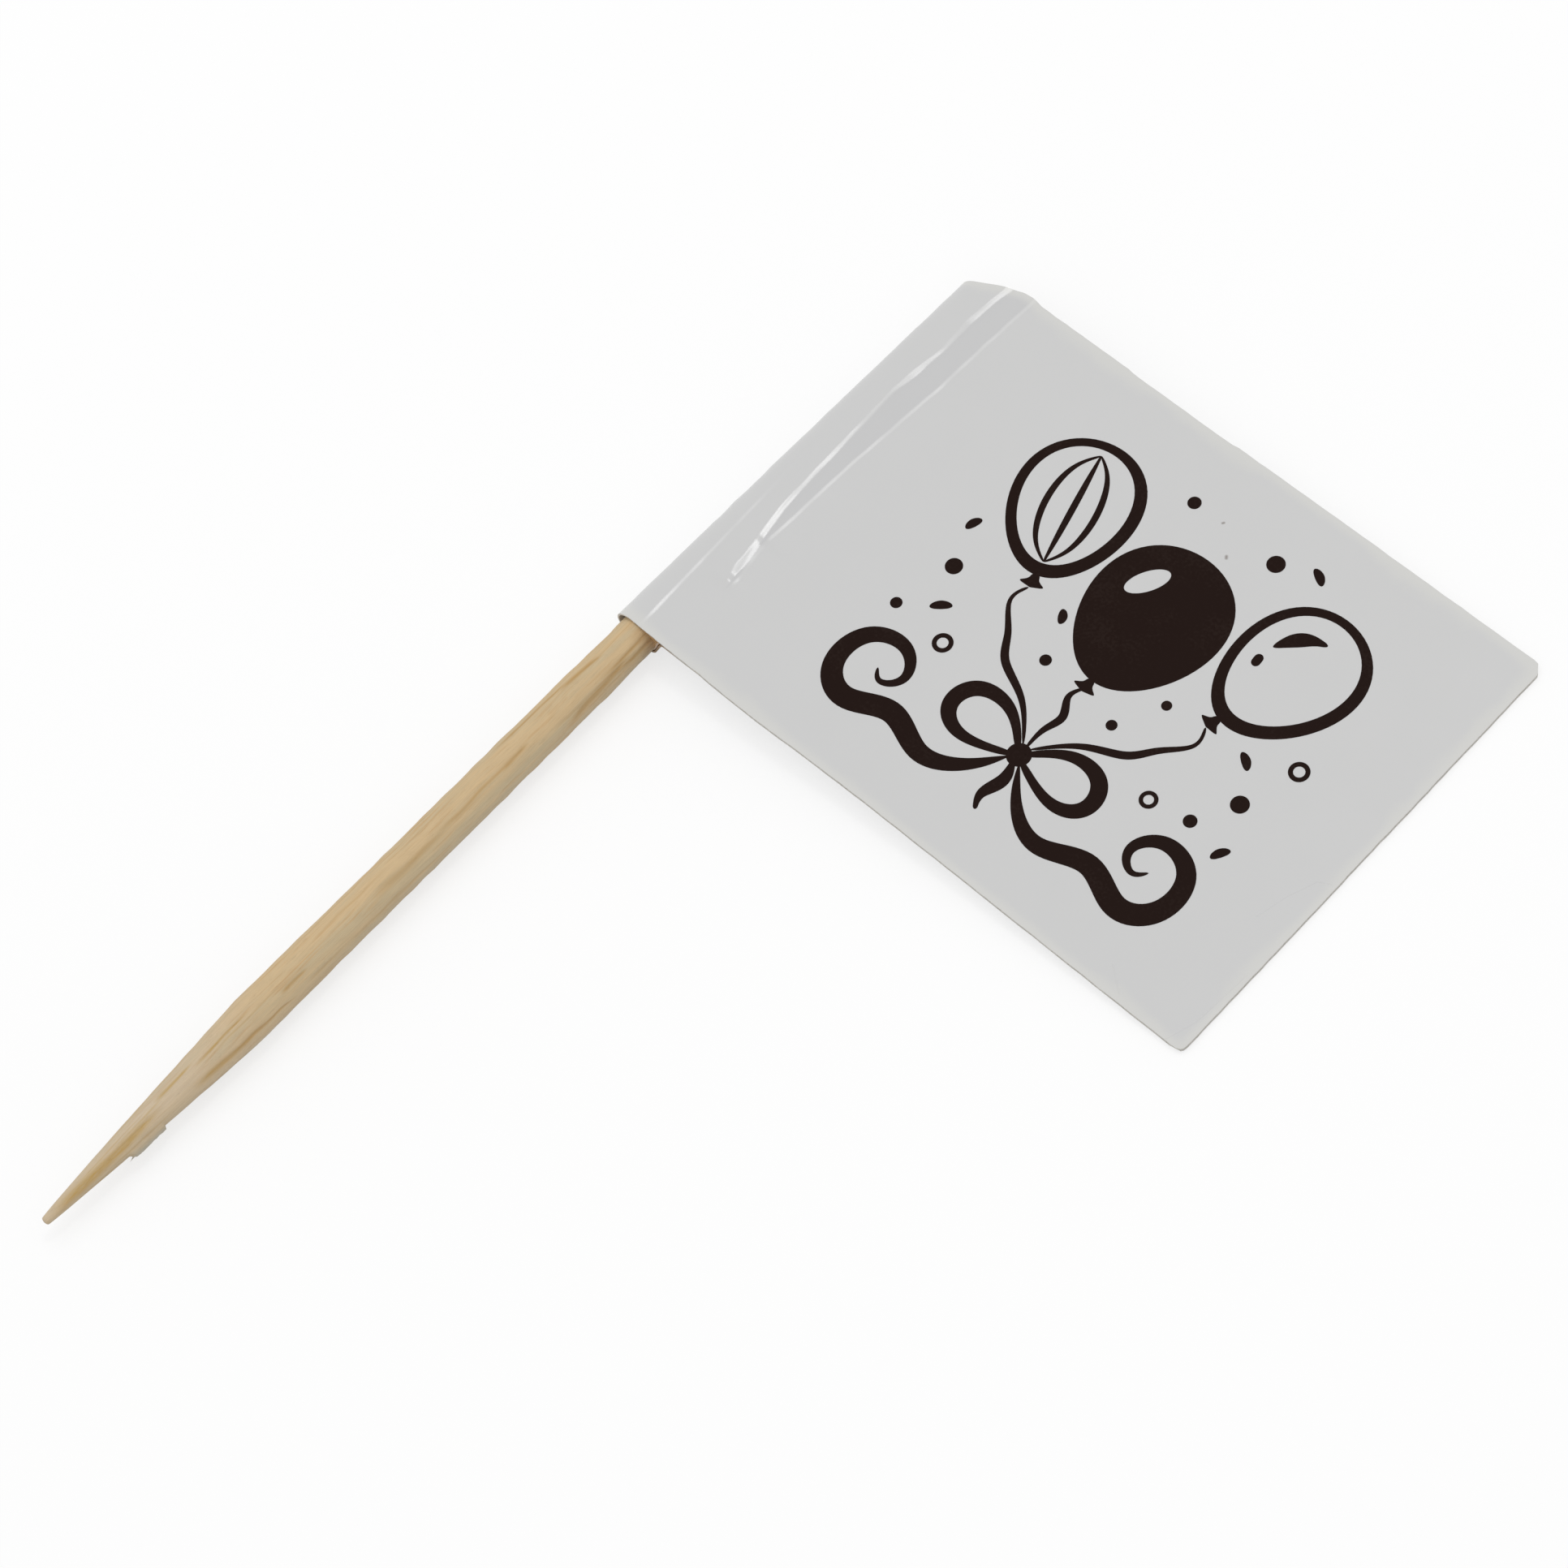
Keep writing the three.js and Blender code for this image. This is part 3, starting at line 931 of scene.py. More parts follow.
# How steep the strips are, as a share of the slope that mirrors the small lamp
near_share_at = ((44.2, 1.02), (46.5, 1.00), (47.9, 0.97), (49.0, 0.86), (50.2, 0.79), (51.2, 0.84),
                 (52.1, 0.91), (53.0, 0.84), (54.5, 0.79), (56.0, 0.755), (57.2, 0.78), (58.2, 0.86),
                 (60.2, 0.82), (61.2, 0.775), (62.6, 0.835), (65.0, 0.80))
far_share_at = ((44.9, 0.60), (45.7, 0.84), (46.5, 0.78), (48.2, 0.83), (49.5, 0.76), (51.2, 0.78),
                (52.4, 0.75), (53.7, 0.775), (55.2, 0.69), (56.4, 0.725), (57.7, 0.735), (58.5, 0.775),
                (59.3, 0.67), (60.2, 0.715), (61.1, 0.68), (62.1, 0.72), (63.2, 0.68), (65.0, 0.67))
rim_share_at = ((39.6, 0.60), (40.1, 0.80), (40.6, 0.93), (41.3, 0.98), (42.0, 0.92), (42.7, 0.84),
                (43.9, 0.86), (45.2, 0.865), (45.9, 0.85), (46.6, 0.79), (48.0, 0.75), (52.0, 0.45))
flash_slope = math.tan(glint_tip)
unsteady_length = 0.8
crease_edge = 0.07


def by_height(pairs, seed, unsteady):
    """A value that follows chosen points up the flag, made a little unsteady by noise."""
    heights, values = np.array(pairs).T
    return np.interp(level, heights, values) * (1 + unsteady * line_noise(level / unsteady_length, seed))


def strip(x, middle, width):
    """1 over a strip of a given width round its middle, with eased edges."""
    start, end = middle - width / 2, middle + width / 2
    return plateau(x, start - crease_edge, start, end, end + crease_edge)


near, far = by_height(near_at, 31, 0.03), by_height(far_at, 32, 0.015)
near_width = by_height(near_width_at, 33, 0.25)
near_slope = flash_slope * by_height(near_share_at, 34, 0.03)
far_slope = flash_slope * by_height(far_share_at, 35, 0.03)
rim_slope = flash_slope * by_height(rim_share_at, 37, 0.02)
print("the creases lie", (far - near).min(), "to", (far - near).max(), "apart")

# %% [markdown]
# The front of the sleeve is then drawn by its slopes rather than its heights: one soft
# slope beside the tube, a strip at each crease, and whatever slope between them makes the
# sum come out right. The height is the running sum of the slopes, counted from the leaf.
# Where the creases start, a fingertip has left a small dimple.

# %% Press the sleeve
fine_from, fine_to = 3.1, 0.6
beside_slope, beside_end = 0.06, 2.1
peak_at_rim, peak_drift, peak_least = 0.31, 0.03, -0.05
valley_starts = (43.4, 44.3)
streak_length, streak_width = 0.9, 0.085
streaks_low, streaks_high, streaks_fade = 0.24, 0.08, (48, 52)
crease_gap, valley_edge = 0.04, 0.35
foot_of_tube = (0.3, 0.8, 1.5, 2.1)
dimple_place, dimple_radius, dimple_depth = (2.38, 44.4), 0.22, 0.018


def running_sum(slopes, x):
    """The height that slopes add up to from the leaf inwards, by the trapezium rule."""
    steps = (slopes[:, 1:] + slopes[:, :-1]) / 2 * -np.diff(x)
    return np.concatenate([np.zeros((len(slopes), 1)), np.cumsum(steps, axis=1)], axis=1)


sleeve_x = np.concatenate([
    np.linspace(sleeve_lead, fine_from, 8)[:-1],
    np.linspace(fine_from, fine_to, 68)[:-1],
    np.linspace(fine_to, crest_reach, 20),
])
valley = ramp(level, *valley_starts)
tube_peak = np.maximum(peak_at_rim - peak_drift * (level - flag_bottom), peak_least)
tube_end = np.where(valley > 0, np.minimum(beside_end, near - 0.1), beside_end)
beside = beside_slope * (1 - np.clip((sleeve_x - tube_peak) / (tube_end - tube_peak), 0, 1))
rim_strip = rim_slope * strip(sleeve_x, tube_peak, rim_width)
tube = np.maximum(rim_strip, beside * ramp(sleeve_x, crest_reach, tube_peak))

streaks = lattice_noise(level / streak_length, (sleeve_x - near + 2) / streak_width, 64, 36)
streaky = 1 + blend(streaks_low, streaks_high, ramp(level, *streaks_fade)) * streaks
near_strip = near_slope * strip(sleeve_x, near, near_width) * streaky
far_strip = far_slope * strip(sleeve_x, far, far_width)
falls = tube + (near_strip + far_strip) * valley

floor_start = near + near_width / 2 + crease_gap
floor_end = far - far_width / 2 - crease_gap
valley_floor = plateau(sleeve_x, floor_start, floor_start + valley_edge, floor_end - valley_edge, floor_end)
between = blend(plateau(sleeve_x, *foot_of_tube), valley_floor, valley) + 1e-6
missing = crest - leaf_front - running_sum(falls, sleeve_x)[:, -1:]
falls = falls + between * missing / running_sum(between, sleeve_x)[:, -1:]
dent = np.hypot(sleeve_x - dimple_place[0], level - dimple_place[1]) / dimple_radius
sleeve_z = leaf_front + running_sum(falls, sleeve_x) - dimple_depth * np.exp(-dent ** 2)
print("steepest fall on the sleeve", math.degrees(math.atan(falls.max())), "degrees")

# %% [markdown]
# Round the back, the section passes the fold with a little slack, hugs the pick from below
# as far as its side, and swings up and over to meet the front leaf. At the rim it is pulled
# a little tighter and meets the leaf sooner. The fold's reach wavers slightly, as
# hand-folded paper does. All of these change up the flag, so each is a column of values,
# one for every level.

# %% Find where the paper bends
rim_pull_height = 4
fold_waver, fold_waver_length = 0.025, 0.9
fold_shake, fold_shake_length = 0.012, 0.35


def arc_handle(angle):
    """The handle of a cubic curve that follows an arc, as a share of the arc's radius:
    4/3 of the tangent of a quarter of the angle."""
    return 4 / 3 * np.tan(angle / 4)


at_rim = 1 - ramp(level, flag_bottom, flag_bottom + rim_pull_height)
lift_angle = blend(lift_above, lift_rim, at_rim)
lift_pull = blend(pull_above, pull_rim, at_rim)
rise_x, rise_z = -np.sin(lift_angle), np.cos(lift_angle)
lifted_x, lifted_z = wrap_radius * rise_z, -wrap_radius * rise_x
wrap_handle = wrap_radius * arc_handle(lift_angle + math.pi / 2)

fold = blend(fold_low, fold_high, level_share)
fold = fold + fold_waver * line_noise(level / fold_waver_length, 41)
fold = fold + fold_shake * line_noise(level / fold_shake_length, 42, 128)
shoulder = fold + crest_reach
junction = blend(junction_low, junction_high, level_share) - junction_rim * at_rim
print("fold reaches", fold.min(), "to", fold.max(), "behind the pick's axis")

# %% [markdown]
# The section is now a chain of stretches from the front fly edge to the back one. Each bend
# is a cubic curve with its two handles, the same curve that a drawing program uses, so every
# stretch leaves in the direction in which the last one arrived. The inner face is the outer
# one moved inwards by the paper's thickness along its normals, so the wall keeps its
# thickness.

# %% Close the section round the pick
bend_steps = 24
leaf_columns, back_columns = 92, 44
quarter_arc = arc_handle(math.pi / 2)


def bend(*points):
    """A cubic curve across the pick, from a start by two handles to an end. Each is an
    (x, z) pair, and what changes up the flag is a column of values."""
    share = np.linspace(0, 1, bend_steps)[None, 1:]
    return [bezier(*values, share) for values in zip(*points)]


def on_every_level(*stretches):
    """Stretches across the pick, each an (x, z) pair, as one pair of grids."""
    return np.concatenate([np.stack(np.broadcast_arrays(level, *pair)[1:]) for pair in stretches], axis=-1)


front = (np.linspace(fly_reach, sleeve_lead, leaf_columns)[None, :-1], leaf_front)
over = bend((crest_reach, crest), (crest_reach - shoulder * quarter_arc, crest),
            (-fold, crest * quarter_arc), (-fold, 0))
under = bend((-fold, 0), (-fold, -wrap_radius * quarter_arc),
             (-fold * quarter_arc, -wrap_radius), (0, -wrap_radius))
wrap = bend((0, -wrap_radius), (wrap_handle, -wrap_radius),
            (lifted_x - rise_x * wrap_handle, lifted_z - rise_z * wrap_handle), (lifted_x, lifted_z))
swing = bend((lifted_x, lifted_z), (lifted_x + rise_x * lift_pull, lifted_z + rise_z * lift_pull),
             (junction - tuck_pull, leaf_back), (junction, leaf_back))
back = (blend(junction, fly_reach, np.linspace(0, 1, back_columns)[None, 1:]), leaf_back)

to_the_bottom = on_every_level(front, (sleeve_x, sleeve_z), over, under)
outer_x, outer_z = np.concatenate([to_the_bottom, on_every_level(wrap, swing, back)], axis=-1)
columns = outer_x.shape[1]
behind = np.arange(columns) >= to_the_bottom.shape[-1]

run_x, run_z = np.gradient(outer_x, axis=1), np.gradient(outer_z, axis=1)
run = np.hypot(run_x, run_z)
inner_x = outer_x - run_z / run * paper_thickness
inner_z = outer_z + run_x / run * paper_thickness
strip_length = np.hypot(np.diff(outer_x[0]), np.diff(outer_z[0])).sum()
print("the strip's outer face is", strip_length, "long at the rim")

# %% [markdown]
# Blades and fingers leave their mark on the outline. The top edge falls away above the
# fold, the upper fly corner is nipped off, the lower one is rubbed round, and no edge is
# quite straight. Blunting a corner scales the points near it towards the leaf, by the
# share that brings the corner's own outline onto a cut or a rounder curve, so the grid
# stays tidy. The leaves also bow a little off their plane, more towards the fly edge.

# %% Wear the outline
blunted = [
    # upper corner or lower one, window, cut along X and Y, power
    (True, 1.6, 0.40, 0.48, 1),
    (False, 1.0, 0.00, 0.00, 6),
]
wave_height = 0.02
corner_lift, corner_reach = 0.03, 9
wave_lead = 9


def leaf_wave(x, height):
    """How far both leaves bow up from their plane: two slow waves that start beyond the
    sleeve, and a lift at the lower fly corner."""
    slow = 1 + np.sin(0.26 * x + 0.12 * height) * np.cos(0.19 * height + 0.4)
    quick = 0.3 * np.sin(0.55 * x - 0.35 * height)
    corner = ramp(x + 0.6 * (flag_bottom - height), fly_reach - corner_reach, fly_reach)
    bow = wave_height * np.maximum(slow + quick, 0) + corner_lift * corner ** 2
    return bow * ramp(x, sleeve_lead, sleeve_lead + wave_lead)


def blunt_corner(x, height, upper, window, cut_x, cut_y, power):
    """Scales points in a window at a fly corner by max(a, b) / (p a^n + q b^n)^(1/n), where
    a and b run from 0 to 1 towards the corner, and p and q place the cut."""
    side = 1 if upper else -1
    edge = flag_top if upper else flag_bottom
    a = (x - (fly_reach - window)) / window
    b = side * (height - (edge - side * window)) / window
    inside = (a > 0) & (b > 0)
    across, up = cut_x / window, cut_y / window
    whole = 1 - (1 - across) * (1 - up)
    p, q = (up / whole, across / whole) if power == 1 else (1, 1)
    a, b = np.where(inside, a, 1), np.where(inside, b, 1)
    scale = np.minimum(np.maximum(a, b) / (p * a ** power + q * b ** power) ** (1 / power), 1)
    x = np.where(inside, fly_reach - window + a * scale * window, x)
    return x, np.where(inside, edge + side * window * (b * scale - 1), height)


print("leaves bow by up to", leaf_wave(outer_x, level).max(), "mm")

# %% [markdown]
# All this is one function from the tidy sheet to the worn one, because the adhesive between
# the leaves has to be worn in the same way. It also gives each point its margin, the
# distance to the nearest cut edge, which the finish will need. Two more masks say where
# shade is painted: darker in the pressed valley, and brown on the back leaf's curl at the rim.

# %% Move the paper to its worn place
trim_depth, trim_height, trim_fade = 1.22, 5.0, (-1.3, 1.9)
bump_depth, bump_place = 0.09, (1.4, 2.2, 2.7, 3.5)
notch_depth, notch_middle, notch_width, notch_rough = 0.06, 12.5, 6.5, 0.7
bulge_depth, bulge_place = 0.05, (4, 6.5, 8, 10.5)
hollow_depth, hollow_start, hollow_fade = 0.085, (8.5, 15), (19, 33)
fly_rough, fly_short = 0.018, 0.045
edge_fade = 0.7


def worn(x, height, z):
    """The paper's points after wear: the corner above the fold trimmed, the lower edge
    bowed, the upper one notched, all edges rough, the fly corners blunted, and the leaves
    off their plane. Returns the points and the margin."""
    trim = trim_depth * (1 - ramp(x, *trim_fade)) - bump_depth * plateau(x, *bump_place)
    trim = trim * np.clip(1 - (flag_top - height) / trim_height, 0, 1)
    near_bottom = 1 - ramp(height - flag_bottom, 0, edge_fade)
    near_top = 1 - ramp(flag_top - height, 0, edge_fade)
    near_fly = 1 - ramp(fly_reach - x, 0, edge_fade)
    rough = 0.016 * line_noise(x / 0.62, 51) + 0.010 * line_noise(x / 0.3, 52)
    notched = notch_depth * strip(x, notch_middle, notch_width) * (1 + notch_rough * line_noise(x / 0.9, 53))
    hollow = hollow_depth * ramp(x, *hollow_start) * (1 - 0.7 * ramp(x, *hollow_fade))
    bowed = bulge_depth * plateau(x, *bulge_place) - hollow
    margin = np.minimum(np.minimum(height - flag_bottom, flag_top - height), fly_reach - x)
    for corner in blunted:
        x, height = blunt_corner(x, height, *corner)
    height = height - trim + (rough - bowed) * near_bottom - (notched + rough) * near_top
    x = x + near_fly * (fly_rough * line_noise(height / 0.55, 54) - fly_short)
    return np.stack([x, height, z + leaf_wave(x, height)], axis=-1), margin


outer_points, outer_margin = worn(outer_x, level + 0 * outer_x, outer_z)
inner_points, inner_margin = worn(inner_x, level + 0 * inner_x, inner_z)
# Painted shade: the pressed valley between the creases is darker.
valley_shade = plateau(outer_x, near, near + 0.2, far - 0.15, far) * valley * ~behind
# Painted shade: brown on the back leaf's curl, where it tucks under the leaf at the rim.
curl_shade_mask = plateau(outer_x, 0.3, 0.9, 1.9, 2.5) * behind
curl_shade_mask = curl_shade_mask * (1 - ramp(level, flag_bottom + 0.1, flag_bottom + 1.2))
print("widest margin", outer_margin.max(), "mm")

# %% [markdown]
# A sheet of coated paper is even, but not perfect: light catches a slight mottle in the
# coating, and handling leaves short creases and a speck or two. Two small groups serve
# the paper, the film and the ink. One gives a slow mottle as a tone near 1 and a height.
# The other marks everything near a straight line between two places on the flag, which
# makes a crease when it is long and a speck when it is short.

# %% Build the mottle and the crease mark
paper_mottle, sockets, finish_group = new_group(
    "paper_mottle",
    {"Place": ("Vector", None), "Patch": ("Float", 1.0), "Amount": ("Float", 0.02)},
    {"Tone": "Float", "Height": "Float"},
)
patches_per_mm = math_node(paper_mottle, "DIVIDE", 1.0, sockets["Patch"])
scaled = vector_node(paper_mottle, "SCALE", sockets["Place"], scale=patches_per_mm)
cloud = noise_node(paper_mottle, scaled, 4.0)["Fac"]
swing_of_tone = math_node(paper_mottle, "MULTIPLY", math_node(paper_mottle, "SUBTRACT", cloud, 0.5), 2.0)
tone = math_node(paper_mottle, "MULTIPLY_ADD", swing_of_tone, sockets["Amount"], 1.0)
finish_group({"Tone": tone, "Height": cloud})

crease_mark, sockets, finish_group = new_group(
    "crease_mark",
    {"Place": ("Vector", None), "From": ("Vector", None), "To": ("Vector", None), "Width": ("Float", 0.1)},
    {"Mask": "Float"},
)
flat_place = vector_node(crease_mark, "MULTIPLY", sockets["Place"], (1, 1, 0))
reach = vector_node(crease_mark, "SUBTRACT", flat_place, sockets["From"])
line = vector_node(crease_mark, "SUBTRACT", sockets["To"], sockets["From"])
reach_along = vector_node(crease_mark, "DOT_PRODUCT", reach, line)
line_square = vector_node(crease_mark, "DOT_PRODUCT", line, line)
portion = math_node(crease_mark, "DIVIDE", reach_along, line_square, use_clamp=True)
foot = vector_node(crease_mark, "SCALE", line, scale=portion)
off_line = vector_node(crease_mark, "DISTANCE", reach, foot)
finish_group({"Mask": map_range(crease_mark, off_line, 0.0, sockets["Width"], 1.0, 0.0)})
print("groups:", [group.name for group in bpy.data.node_groups])

# %% [markdown]
# The coated face is a neutral light grey under a clear gloss. It is a little lighter and
# yellower in a band along the cut edges, where the coating thins. A painted shade makes it a
# little darker in the pressed valley and brown on the back leaf's curl at the rim. Handling
# has left a few short creases near the fly edge, and there are two specks of dirt.

# %% Set the paper's colours and marks
paper_grey = (0.592, 0.592, 0.590)
paper_edge = (0.640, 0.637, 0.612)
# Painted shade: the pressed valley is a little darker.
paper_valley_shade = (0.545, 0.545, 0.548)
speck_brown = (0.20, 0.17, 0.15)
# Painted shade: brown on the back leaf's curl at the rim.
curl_shade_brown = (0.330, 0.205, 0.105)
edge_band = 0.9
valley_shade_share, dirt_share, curl_shade_share, crease_share = 0.8, 0.8, 0.85, 0.3
handling_creases = [
    ((32.9, 46.9, 0), (33.3, 48.5, 0), 0.06),
    ((33.3, 48.5, 0), (33.9, 50.0, 0), 0.05),
    ((33.9, 50.0, 0), (34.5, 50.3, 0), 0.04),
    ((33.8, 39.7, 0), (34.3, 41.2, 0), 0.06),
    ((34.3, 41.2, 0), (34.5, 44.4, 0), 0.05),
    ((29.5, 40.9, 0), (30.7, 40.0, 0), 0.05),
]
specks = [
    ((19.50, 60.16, 0), (19.56, 60.08, 0), 0.13),
    ((18.17, 61.40, 0), (18.21, 61.46, 0), 0.10),
]


def marks(tree, place, lines, share):
    """The strongest of several crease marks at each place, times a share."""
    total = 0.0
    for start, end, width in lines:
        mark = use_group(tree, crease_mark, {"Place": place, "From": start, "To": end, "Width": width})
        total = math_node(tree, "MAXIMUM", mark["Mask"], total)
    return math_node(tree, "MULTIPLY", total, share)


def curl_shade(tree, tone):
    """A tone that turns brown where the mesh marks the back leaf's curl at the rim: painted shade."""
    return mixed(tree, math_node(tree, "MULTIPLY", mesh_mask(tree, "curl_shade"), curl_shade_share), tone, curl_shade_brown)


print(len(handling_creases), "creases and", len(specks), "specks")

# %% [markdown]
# The gloss is a coat over a duller base, so that the creases flash while the leaf stays
# even. One glossy layer could flash as well, but it would mirror the lamp in a much wider
# patch. The handling creases and the grain of the coating go into the bump.

# %% Finish the coated face
coating_bump = 0.00003
coated_paper, tree, finish_material = new_material("coated_paper")
place = flag_coordinates(tree)
mottle = use_group(tree, paper_mottle, {"Place": place, "Patch": 3.0, "Amount": 0.012})
ripple = use_group(tree, paper_mottle, {"Place": place, "Patch": 0.5})
# Painted shade in the pressed valley.
valley_shade_amount = math_node(tree, "MULTIPLY", mesh_mask(tree, "valley_shade"), valley_shade_share)
tone = mixed(tree, valley_shade_amount, paper_grey, paper_valley_shade)
uneven_margin = math_node(
    tree, "MULTIPLY", mesh_mask(tree, "margin"), map_range(tree, mottle["Height"], 0.3, 0.7, 0.7, 1.6),
)
tone = mixed(tree, map_range(tree, uneven_margin, 0.1, edge_band, 0.8, 0.0), tone, paper_edge)
tone = vector_node(tree, "SCALE", tone, scale=mottle["Tone"])
# The specks are dirt. The brown on the curl at the rim is painted shade.
tone = curl_shade(tree, mixed(tree, marks(tree, place, specks, dirt_share), tone, speck_brown))
folded = marks(tree, place, handling_creases, crease_share)
relief_of_coat = math_node(tree, "MULTIPLY_ADD", ripple["Height"], 0.05, folded)
finish_material(surface_shader(tree, relief_of_coat, 1.0, coating_bump, {
    "Base Color": tone, "Roughness": 0.5, "Specular IOR Level": 0.1,
    "Coat Weight": 0.7, "Coat Roughness": 0.16,
}))
print("coated_paper has", len(tree.nodes), "nodes")

# %% [markdown]
# The other two finishes of the strip are bare paper. Its inner face is uncoated and dull.
# Its cut edges show the fibres in section, which is where dirt collects: they are darker,
# with streaks across the thickness.

# %% Finish the bare paper
bare_bump = 0.00002


def bare_paper_material(name, light, dark, patch, roughness):
    """Uncoated paper: a mottle between two tones, and a rough, matt surface."""
    material, tree, finish_material = new_material(name)
    mottle = use_group(tree, paper_mottle, {"Place": flag_coordinates(tree), "Patch": patch})["Height"]
    tone = mixed(tree, map_range(tree, mottle, 0.35, 0.65), dark, light)
    # The brown on the back leaf's curl at the rim is painted shade.
    finish_material(surface_shader(tree, mottle, 0.7, bare_bump, {
        "Base Color": curl_shade(tree, tone), "Roughness": roughness, "Specular IOR Level": 0.3,
    }))
    return material


paper_inside = bare_paper_material("paper_inside", (0.66, 0.64, 0.63), (0.60, 0.585, 0.58), 0.3, 0.85)
cut_edge = bare_paper_material("cut_edge", (0.70, 0.68, 0.64), (0.56, 0.54, 0.49), 0.12, 0.9)
print("bare paper:", paper_inside.name, cut_edge.name)

# %% [markdown]
# Now the strip itself. Each height's points make a loop: the outer face one way, the inner
# face back. The loops are joined into a tube, and the tube is closed at the lower and the
# top edge by quads across the thickness. Which stretch of the loop a quad lies on says
# which of the three finishes it has. A Solidify modifier could thicken a single sheet, but
# these masks differ from one face to the other. The adhesive between the leaves is a sheet
# as well, so the same two functions will make it.

# %% Make the paper strip
def sheet_loops(outer, inner):
    """The values on both faces of a sheet as loops: out along one face, back along the other."""
    return np.concatenate([outer, inner[:, ::-1]], axis=1)


def sheet_faces(rows, columns):
    """The quads of a closed sheet: the tube that its loops make, then the lower edge, then
    the upper edge. Each edge quad joins point k of a loop to point 2 columns - 1 - k."""
    step = np.arange(columns - 1)
    low_edge = np.stack([step, 2 * columns - 1 - step, 2 * columns - 2 - step, step + 1], axis=-1)
    top_edge = (rows - 1) * 2 * columns + low_edge[:, ::-1]
    return np.concatenate([grid_faces(rows, 2 * columns, round_columns=True), low_edge, top_edge])


coated, inside, edge = 0, 1, 2
quad_column = np.tile(np.arange(2 * columns), paper_rows - 1)
tube_finish = np.select(
    [quad_column < columns - 1, quad_column == columns - 1, quad_column < 2 * columns - 1],
    [coated, edge, inside], edge,
)
paper = new_piece(
    "paper_strip", sheet_loops(outer_points, inner_points), sheet_faces(paper_rows, columns),
    "coated_paper", [coated_paper, paper_inside, cut_edge],
    finish=np.concatenate([tube_finish, np.full(2 * (columns - 1), edge)]),
    masks={"margin": sheet_loops(outer_margin, inner_margin), "valley_shade": sheet_loops(valley_shade, 0 * valley_shade),
           "curl_shade": sheet_loops(curl_shade_mask, curl_shade_mask)},
)
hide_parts("paper_flag")

# %% [markdown]
# Between the leaves is a film of dried adhesive. It shows only as a thin line in the cut
# edge, but it is a real layer there, so it gets its own sheet, which bows with the leaves
# and stops just short of the edges. The adhesive inside the sleeve is hidden, so it keeps
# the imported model's shape. Both are a slightly yellow, glossy film with small bubbles.

# %% Make the adhesive
film_inset = 0.015
film_lead = 0.15
film_rows, film_columns = 70, 60
bubble_bump = 0.00001


def adhesive_material(name, dark, light, patch):
    """Dried adhesive: a mottle between two tones under a gloss that it makes uneven."""
    material, tree, finish_material = new_material(name)
    place = flag_coordinates(tree)
    mottle = use_group(tree, paper_mottle, {"Place": place, "Patch": patch})["Height"]
    cells = add_node(tree, "TexVoronoi", {"Vector": place, "Scale": 2.2}).outputs["Distance"]
    finish_material(surface_shader(tree, map_range(tree, cells, 0.08, 0.16, 1.0, 0.0), 0.6, bubble_bump, {
        "Base Color": mixed(tree, map_range(tree, mottle, 0.3, 0.7), dark, light),
        "Roughness": map_range(tree, mottle, 0.3, 0.7, 0.18, 0.35),
    }))
    return material


dried_adhesive = adhesive_material("dried_adhesive", (0.70, 0.66, 0.54), (0.79, 0.76, 0.66), 0.8)
film_share = np.linspace(0, 1, film_rows)[:, None]
film_y = blend(flag_bottom + film_inset, flag_top - film_inset, film_share)
film_start = blend(junction_low, junction_high, film_share) + film_lead
film_x = blend(film_start, fly_reach - film_inset, np.linspace(0, 1, film_columns)[None, :])
film_z = (leaf_front - paper_thickness - bond_gap, leaf_back + paper_thickness + bond_gap)
film_sides = [worn(film_x, film_y + 0 * film_x, z)[0] for z in film_z]
film = new_piece(
    "leaf_film", sheet_loops(*film_sides), sheet_faces(film_rows, film_columns),
    "clear_adhesive", [dried_adhesive],
)
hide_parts("leaf_adhesive")
frame["nodes"]["pick_adhesive"].material_slots[0].material = dried_adhesive
print("pick_adhesive wears", dried_adhesive.name)

# %% [markdown]
# At the rim a bead of adhesive fills the narrow gap above the pick and the wedge beside it,
# where the two leaves part. So its outer side follows the paper's inner face: in each
# direction from the pick's axis, it is as far out as that face, and no further than where
# the leaves meet. Its brown is painted shade, standing where the rim is in shadow.

# %% Fill the rim with adhesive in a brown painted shade
bead_from, bead_to, bead_steps, bead_sides = -80, 125, 100, 14
bead_inside, bead_outside, bead_overlap = 0.9, 1.85, 0.02
bead_half_depth, bead_recess = 0.12, 0.03

bead_angle = np.radians(np.linspace(bead_from, bead_to, bead_steps))[:, None]
face_angle = np.maximum.accumulate(np.unwrap(np.arctan2(inner_z[0], inner_x[0])))
face_distance = np.hypot(inner_x[0], inner_z[0])
meets_front = np.interp(bead_angle, face_angle, face_distance)
meets_back = np.interp(bead_angle + 2 * np.pi, face_angle, face_distance)
bead_reach = np.minimum(np.minimum(meets_front, meets_back), bead_outside) + bead_overlap

round_bead = np.linspace(0, 2 * np.pi, bead_sides, endpoint=False)[None, :]
bead_size = np.sqrt(plateau(np.linspace(0, 1, bead_steps)[:, None], 0, 0.1, 0.9, 1))
bead_radius = blend(bead_inside, bead_reach, (1 + bead_size * np.cos(round_bead)) / 2)
bead_y = flag_bottom + bead_recess + bead_half_depth * (1 + bead_size * np.sin(round_bead))
bead_points = np.stack([bead_radius * np.cos(bead_angle), bead_y, bead_radius * np.sin(bead_angle)], axis=-1)
